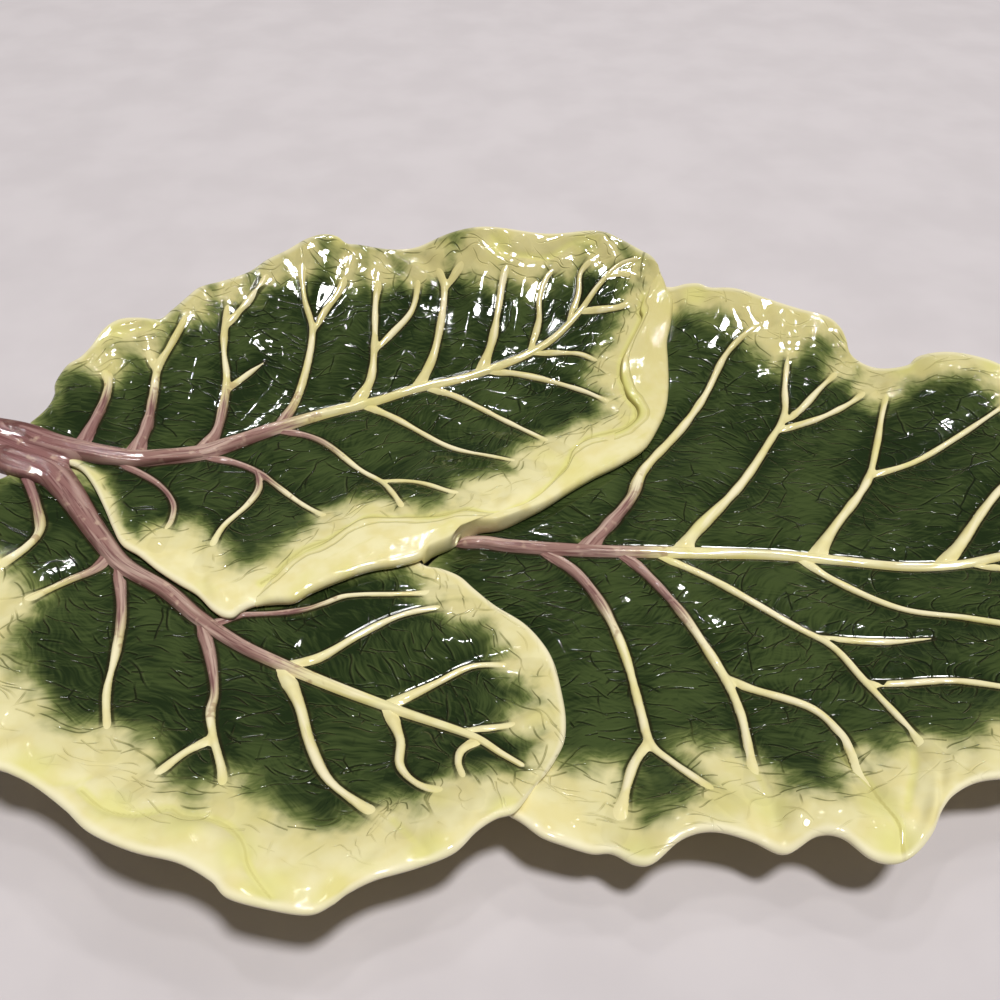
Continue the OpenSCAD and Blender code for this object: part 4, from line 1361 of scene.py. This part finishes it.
def hatching(g, place, way, patch, hair, shift):
    """Fine brush hairs side by side, about along the veins and a little askew in every patch."""
    moved = g.vector("ADD", place, (shift, shift * .6, 0))
    cells = g.cells(moved, patch, feature="F1")
    local = g.vector("SUBTRACT", moved, cells.outputs["Position"])
    chance = g.parts("Color", cells.outputs["Color"])[0]
    askew = g.math("MULTIPLY_ADD", chance, most_askew, -most_askew / 2)
    combed = g.vector("MULTIPLY", g.rotated(local, g.minus(askew, way)), hair_stretch)
    return g.noise(g.vector("ADD", combed, cells.outputs["Color"]), hair, 1.5)


print("hairs are drawn out", round(hair_stretch[1] / hair_stretch[0]), "times along the veins")

# %% [markdown]
# The cream is mixed by one function, because the ribs have to melt into the rim without a seam.
# It goes to straw yellow in broad clouds, and it is painted darker towards the steep back wall as
# shade.

# %% Mix the cream
pale_cream, warm_cream, straw = colour(231, 222, 172), colour(224, 212, 152), colour(216, 208, 124)
back_shade_cream = colour(196, 184, 120)


def cream_glaze(g, here):
    """The cream, and the blots in which it lies thicker."""
    blot = g.noise(here, .009, 2.0)
    cream = g.mix(g.ramp(blot, .35, .70), pale_cream, warm_cream)
    cloud = g.ramp(g.noise(here, .022, 2.0), .53, .70)
    cream = g.mix(g.times(cloud, .5), cream, straw)
    # Painted shade: the cream darkens towards the back of the platter, on its steep back wall.
    painted_back_shade = g.ramp(g.parts("XYZ", here)[1], .010, .130, 0, .62)
    return g.mix(painted_back_shade, cream, back_shade_cream), blot


print("pale cream as light:", [round(c, 3) for c in pale_cream])

# %% [markdown]
# ## The leaf glaze
# The leaf carries two paints under one clear gloss: a cream that pools to straw yellow in the
# hollows of the rim, and a green that goes from light to nearly black where it lies thick. The
# green stops in a feathered border of brush hairs, which run in from the rim. Each layer of
# strokes is written with the size of its cells, the length and the width of a stroke, how far
# it may turn, the share of cells that hold one, and a shift.

# %% Strokes and colours of the leaf glaze
stroke_layers = [(.0075, .011, .00044, .9, .80, .0), (.0105, .015, .00050, 1.3, .70, .31),
                 (.0170, .023, .00060, 2.2, .60, .57)]
dark_green, mid_green = colour(28, 41, 17), colour(62, 75, 38)
stroke_highlight_green, dark_stroke = colour(88, 101, 58), colour(15, 23, 7)
pool_straw, deep_straw = colour(218, 214, 122), colour(178, 168, 92)
pale_edge = colour(242, 234, 206)
faint_wash, faint_stroke = colour(184, 176, 120), colour(186, 176, 104)
thin_dark, thin_light, border_stroke = colour(96, 108, 56), colour(124, 132, 76), colour(62, 74, 32)
rib_foot_pool_and_shade = colour(34, 30, 14)
print("layers of strokes:", len(stroke_layers))

# %% Make the leaf glaze
def leaf_glaze():
    g = Glaze("leaf_glaze")
    here = g.here()
    warp = g.node("TexNoise", {"Vector": here, "Scale": 70.0, "Detail": 1.0}, "Color")
    warp = g.vector("SCALE", g.vector("SUBTRACT", warp, (.5, .5, .5)), Scale=.006)
    bent = g.vector("ADD", here, warp)
    rim = g.pair(g.layer("rim_run"), g.layer("rim_in"))
    way = g.layer("vein_way")
    dark, light = strokes(g, bent, way, *stroke_layers[0])
    for layer in stroke_layers[1:]:
        more_dark, more_highlight = strokes(g, bent, way, *layer)
        dark, light = g.math("MAXIMUM", dark, more_dark), g.math("MAXIMUM", light, more_highlight)
    dark = g.math("MAXIMUM", dark, veins(g, bent, .015, .0005, .54))

    # Brush hairs, clouds and blots
    combed = g.plus(hatching(g, bent, way, .030, .0012, .0),
                    hatching(g, bent, way, .019, .0009, .37))
    cloud = g.noise(here, .030, 3.0, .55)
    ripple = g.noise(here, .0035, 1.0)
    cream, blot = cream_glaze(g, here)

    # How deep inside the green a place is, frayed by brush hairs
    fray = g.noise(g.vector("MULTIPLY", rim, (1.0, .22, 1.0)), .0020, 2.0)
    depth = g.plus(g.layer("green"), g.times(g.minus(fray, .5), .0016))
    depth = g.plus(depth, g.times(g.minus(g.noise(bent, .0085, 2.0, .5), .5), .012))
    wash = g.ramp(depth, -.0052, .0038)
    deep = g.ramp(depth, .0000, .0090)

    # Cream with straw pools, a faint wash and faint strokes near the green, and a pale edge
    pool = g.layer("pool")
    cream = g.mix(g.ramp(pool, .10, .75, 0, .55), cream, pool_straw)
    cream = g.mix(g.ramp(pool, .78, .96, 0, .6), cream, deep_straw)
    cream = g.mix(g.ramp(depth, -.020, -.002, 0, .34), cream, faint_wash)
    cream = g.mix(g.times(dark, g.ramp(depth, -.017, -.003, 0, .40)), cream, faint_stroke)
    cream = g.mix(g.ramp(g.layer("rim_in"), .0034, .0010, 0, .5), cream, pale_edge)

    # Green: clouds and hairs, painted shade beside a rib, then the strokes with their painted
    # highlights
    tone = g.plus(g.times(combed, .60), g.times(cloud, 1.05))
    shade = g.ramp(g.layer("rib_gap"), .0075, .0005, 0, .16)
    green = g.mix(g.ramp(g.minus(tone, shade), .82, 1.38), dark_green, mid_green)
    green = g.mix(g.times(light, .26), green, stroke_highlight_green)
    green = g.mix(g.times(dark, .9), green, dark_stroke)

    # The border, where thin green lies on the cream
    thin_green = g.mix(g.ramp(combed, .80, 1.20), thin_dark, thin_light)
    body = g.mix(wash, cream, g.mix(deep, thin_green, green))
    border = g.minus(g.ramp(depth, -.007, .000), g.times(deep, .95))
    body = g.mix(g.times(g.times(dark, border), .65), body, border_stroke)

    # Dark line at the foot of each rib: pooled glaze and painted shade
    foot_line = g.ramp(g.layer("rib_gap"), .0011, .0003)
    at_rib = g.times(foot_line, g.ramp(depth, -.003, .003, .08, 1))
    body = g.mix(g.times(at_rib, .8), body, rib_foot_pool_and_shade)
    scratched = g.times(dark, g.ramp(depth, -.018, -.002, 0, .55))
    height = g.minus(g.times(blot, .30), scratched)
    height = g.plus(height, g.times(ripple, .08))
    height = g.minus(height, g.times(at_rib, .5))
    return g.set(Base_Color=body, Normal=g.bump(height, .0005),
                 Roughness=.04, Specular_IOR_Level=.35)


leaf_material = leaf_glaze()
print("nodes in the leaf glaze:", len(leaf_material.node_tree.nodes))

# %% [markdown]
# ## The rib glaze
# The ribs are cream too, and near the stalk they are painted rose with fine plum lines that
# run along them. A noise that is stretched along `run` turns into lines that bend with the rib.
# The sides of each rib are painted darker towards the foot as shade, and its top a little paler as
# painted light.

# %% Make the rib glaze
flesh_cream, shaded_foot_straw = colour(238, 228, 192), colour(192, 178, 104)
pale_rose, deep_rose, cut_rose = colour(188, 160, 146), colour(152, 118, 108), colour(122, 74, 80)
fibre_straw, brown_spot = colour(178, 158, 104), colour(150, 116, 84)
plum_line, rose_spot, shaded_foot_brown = colour(98, 56, 58), colour(204, 176, 154), colour(84, 50, 42)


def rib_glaze():
    g = Glaze("rib_glaze")
    here = g.here()
    names = ("run", "across", "rose", "ridge", "lost")
    run, across, rose, ridge, lost = (g.layer(name) for name in names)
    fibres = g.noise(g.pair(g.times(run, .045), across), .0010, 3.0, .6)
    broad = g.noise(g.pair(g.times(run, .10), across), .0032, 2.0)
    spots = g.noise(here, .0045, 2.0)
    # Side: the flanks of a rib, where painted shade darkens it towards the foot
    side = g.math("MAXIMUM", g.minus(g.ramp(ridge, .45, .10), lost), 0.0)

    # Cream ribs, with brown spots where the rose begins
    cream, blot = cream_glaze(g, here)
    # Paler in broad patches, and a little paler on the top as painted light
    pale = g.minus(g.math("MULTIPLY_ADD", ridge, .12, broad), g.times(lost, .4))
    cream = g.mix(g.ramp(pale, .50, .70, 0, .8), cream, flesh_cream)
    # Painted shade on the flanks of the cream ribs
    cream = g.mix(g.times(side, .6), cream, shaded_foot_straw)
    cream = g.mix(g.ramp(fibres, .60, .80, 0, .3), cream, fibre_straw)
    near_rose = g.times(g.ramp(rose, .0, .25), g.ramp(spots, .56, .66))
    cream = g.mix(g.times(near_rose, .6), cream, brown_spot)

    # Rose ribs, darker towards the cut end of the stalk
    pink = g.mix(g.ramp(broad, .38, .62), pale_rose, deep_rose)
    cut = g.ramp(g.parts("XYZ", here)[0], -.150, -.240, 0, .7)
    pink = g.mix(cut, pink, cut_rose)
    pink = g.mix(g.ramp(fibres, .47, .66, 0, .7), pink, plum_line)
    pink = g.mix(g.ramp(spots, .58, .76, 0, .6), pink, rose_spot)
    # Painted shade on the flanks of the rose ribs
    pink = g.mix(g.times(side, .6), pink, shaded_foot_brown)

    painted = g.plus(rose, g.times(g.minus(fibres, .5), 1.1))
    body = g.mix(g.ramp(painted, .10, .90), cream, pink)
    height = g.plus(g.times(fibres, g.ramp(rose, 0, 1, -.15, -.5)), g.times(blot, .4))
    return g.set(Base_Color=body, Normal=g.bump(height, .0003),
                 Roughness=.07, Specular_IOR_Level=.4)


rib_material = rib_glaze()
print("nodes in the rib glaze:", len(rib_material.node_tree.nodes))

# %% [markdown]
# The turned edge is cream. Straw glaze has collected along its crease, painted shadow darkens
# the fold itself, and a second, fainter line follows it where the fold was pressed down.

# %% Make the glaze of the turned edge
band_straw, crease_straw = colour(208, 200, 124), colour(206, 204, 108)
crease_shadow_brown, pressed_line = colour(146, 134, 66), colour(182, 172, 96)


def rim_glaze():
    g = Glaze("rim_glaze")
    here = g.here()
    rim = g.pair(g.layer("rim_run"), g.layer("from_crease"))
    cream, blot = cream_glaze(g, here)
    fine = g.noise(g.vector("MULTIPLY", rim, (.25, 1.0, 1.0)), .0030, 2.0)
    cream = g.mix(g.ramp(fine, .56, .78, 0, .35), cream, band_straw)
    wander = g.times(g.minus(g.noise(here, .012, 2.0), .5), .004)
    from_crease = g.plus(g.layer("from_crease"), wander)
    pooled = g.ramp(g.noise(here, .020, 1.0), .40, .62, .15, .75)
    body = g.mix(g.times(g.ramp(from_crease, .0055, .0005), pooled), cream, crease_straw)
    # Painted shadow where the fold rises from the leaf
    body = g.mix(g.ramp(g.layer("from_crease"), .0022, .0004, 0, .85), body, crease_shadow_brown)
    second = g.ramp(g.size(g.minus(from_crease, .0048)), .0009, .0002)
    body = g.mix(g.times(second, .45), body, pressed_line)
    height = g.minus(g.plus(blot, g.times(fine, .3)), g.times(second, .6))
    return g.set(Base_Color=body, Normal=g.bump(height, .0004),
                 Roughness=.07, Specular_IOR_Level=.4)


rim_material = rim_glaze()
print("nodes in the glaze of the turned edge:", len(rim_material.node_tree.nodes))

# %% [markdown]
# ## The foot and the table
# The ring is glazed cream, and its standing edge is wiped to the bare clay. The table is a
# plain pale surface.

# %% Foot and table materials
pale_clay, dark_clay = colour(214, 190, 156), colour(188, 160, 124)
foot_pale, foot_warm = colour(226, 216, 172), colour(214, 202, 150)
pale_table, grey_table = colour(200, 193, 194), colour(194, 187, 188)


def foot_clay():
    g = Glaze("foot_clay")
    here = g.here()
    up = g.parts("XYZ", here)[2]
    speck = g.noise(here, .0012, 3.0, .7)
    bare = g.mix(g.ramp(speck, .4, .65), pale_clay, dark_clay)
    glazed = g.mix(g.ramp(g.noise(here, .012), .4, .7), foot_pale, foot_warm)
    share = g.ramp(g.plus(up, g.times(g.noise(here, .006), .0012)), .0016, .0028)
    return g.set(Base_Color=g.mix(share, bare, glazed), Roughness=g.ramp(share, 0, 1, .75, .14),
                 Normal=g.bump(speck, .0002))


def table_top():
    g = Glaze("table_top")
    soft = g.ramp(g.noise(g.here(), .05, 3.0), .3, .7)
    return g.set(Base_Color=g.mix(soft, pale_table, grey_table), Roughness=.8)


foot_material, table_material = foot_clay(), table_top()
print("nodes in the foot's clay:", len(foot_material.node_tree.nodes))

# %% Give each piece its glaze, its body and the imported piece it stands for
def dress(piece, material, slot, *nodes):
    piece.data.materials.clear()
    piece.data.materials.append(material)
    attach(piece, "root")
    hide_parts(*nodes)


dress(right_leaf, leaf_material, "leaf_green", "right_leaf")
dress(front_leaf, leaf_material, "leaf_green", "front_leaf")
dress(back_leaf, leaf_material, "leaf_green", "back_leaf")
for name, piece in rib_pieces.items():
    dress(piece, rib_material, "rib_rose" if name.endswith("midrib") else "rib_cream", name)
dress(stalk, rib_material, "rib_rose", "stalk")
dress(turned, rim_material, "rim_cream", "back_leaf_edge")
dress(foot, foot_material, "clay_foot", "foot_ring")
print("dressed pieces:", len(rib_pieces) + 6)

# %% [markdown]
# ## Table, light and camera
# A broad even light comes from above, a little from the right and the front, so that a dark
# shadow shows below the front rim. Three clusters of small lamps, like ceiling fittings with
# several bulbs, draw the bright dots on the glaze. The world fills the shadows weakly, and the
# camera sees it as pale as the table.

# %% Table
table_reach = 4
bm = bmesh.new()
bmesh.ops.create_grid(bm, x_segments=2, y_segments=2, size=table_reach)
table_mesh = written(bm, bpy.data.meshes.new("table"))
table_mesh.materials.append(table_material)
table = placed("table", table_mesh)
table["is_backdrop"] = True
print("the table reaches", table_reach, "m to each side")

# %% Light
def lamp(name, kind, place, power, **settings):
    """A light at a place that shines towards the middle of the platter."""
    data = bpy.data.lights.new(name, kind)
    data.energy = power
    for key, value in settings.items():
        setattr(data, key, value)
    made = placed(name, data)
    made.location = place
    made.rotation_euler = (-Vector(place)).to_track_quat("-Z", "Y").to_euler()


fittings = [(-.15, .22), (.55, .50), (-.05, .74)]
bulbs = [(0, 0), (.05, .012), (-.045, .02), (.02, -.05), (-.03, -.045)]
ceiling, bulb_power, bulb_size = 1.35, .32, .013
sun_place, sun_power, sun_angle = (.34, -.24, 2.0), 2.75, 9
lamp("key", "SUN", sun_place, sun_power, angle=math.radians(sun_angle))
for fitting, (x, y) in enumerate(fittings):
    for i, (dx, dy) in enumerate(bulbs):
        lamp(f"bulb_{fitting + 1}_{i + 1}", "AREA", (x + dx, y + dy, ceiling), bulb_power,
             shape="DISK", size=bulb_size)
print("lights:", len(bpy.data.lights))

# %% World
fill, seen_by_camera = .14, .60
world = bpy.data.worlds.new("room")
world.use_nodes = True
sky = world.node_tree.nodes["Background"].inputs
sky["Color"].default_value = (.84, .80, .79, 1)
seen = world.node_tree.nodes.new("ShaderNodeLightPath").outputs["Is Camera Ray"]
strength = world.node_tree.nodes.new("ShaderNodeMath")
strength.operation = "MULTIPLY_ADD"
strength.inputs[1].default_value, strength.inputs[2].default_value = seen_by_camera, fill
world.node_tree.links.new(seen, strength.inputs[0])
world.node_tree.links.new(strength.outputs[0], sky["Strength"])
bpy.context.scene.world = world
print("the world shines with", fill, "and the camera sees", round(fill + seen_by_camera, 2))

# %% Camera
camera_place, looks_down, lens = (-.029, -.2786, .290), 43.3, 36
camera = placed("camera", bpy.data.cameras.new("camera"))
camera.data.lens, camera.data.sensor_width = lens, lens
camera.location = camera_place
camera.rotation_euler = (math.radians(90 - looks_down), 0, 0)
bpy.context.scene.camera = camera
bpy.context.scene.view_settings.view_transform = "Standard"
print("the camera looks down by", looks_down, "degrees")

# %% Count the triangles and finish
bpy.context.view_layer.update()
meshes = [o.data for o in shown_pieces() if o.type == "MESH"]
print("triangles", sum(len(p.vertices) - 2 for mesh in meshes for p in mesh.polygons))
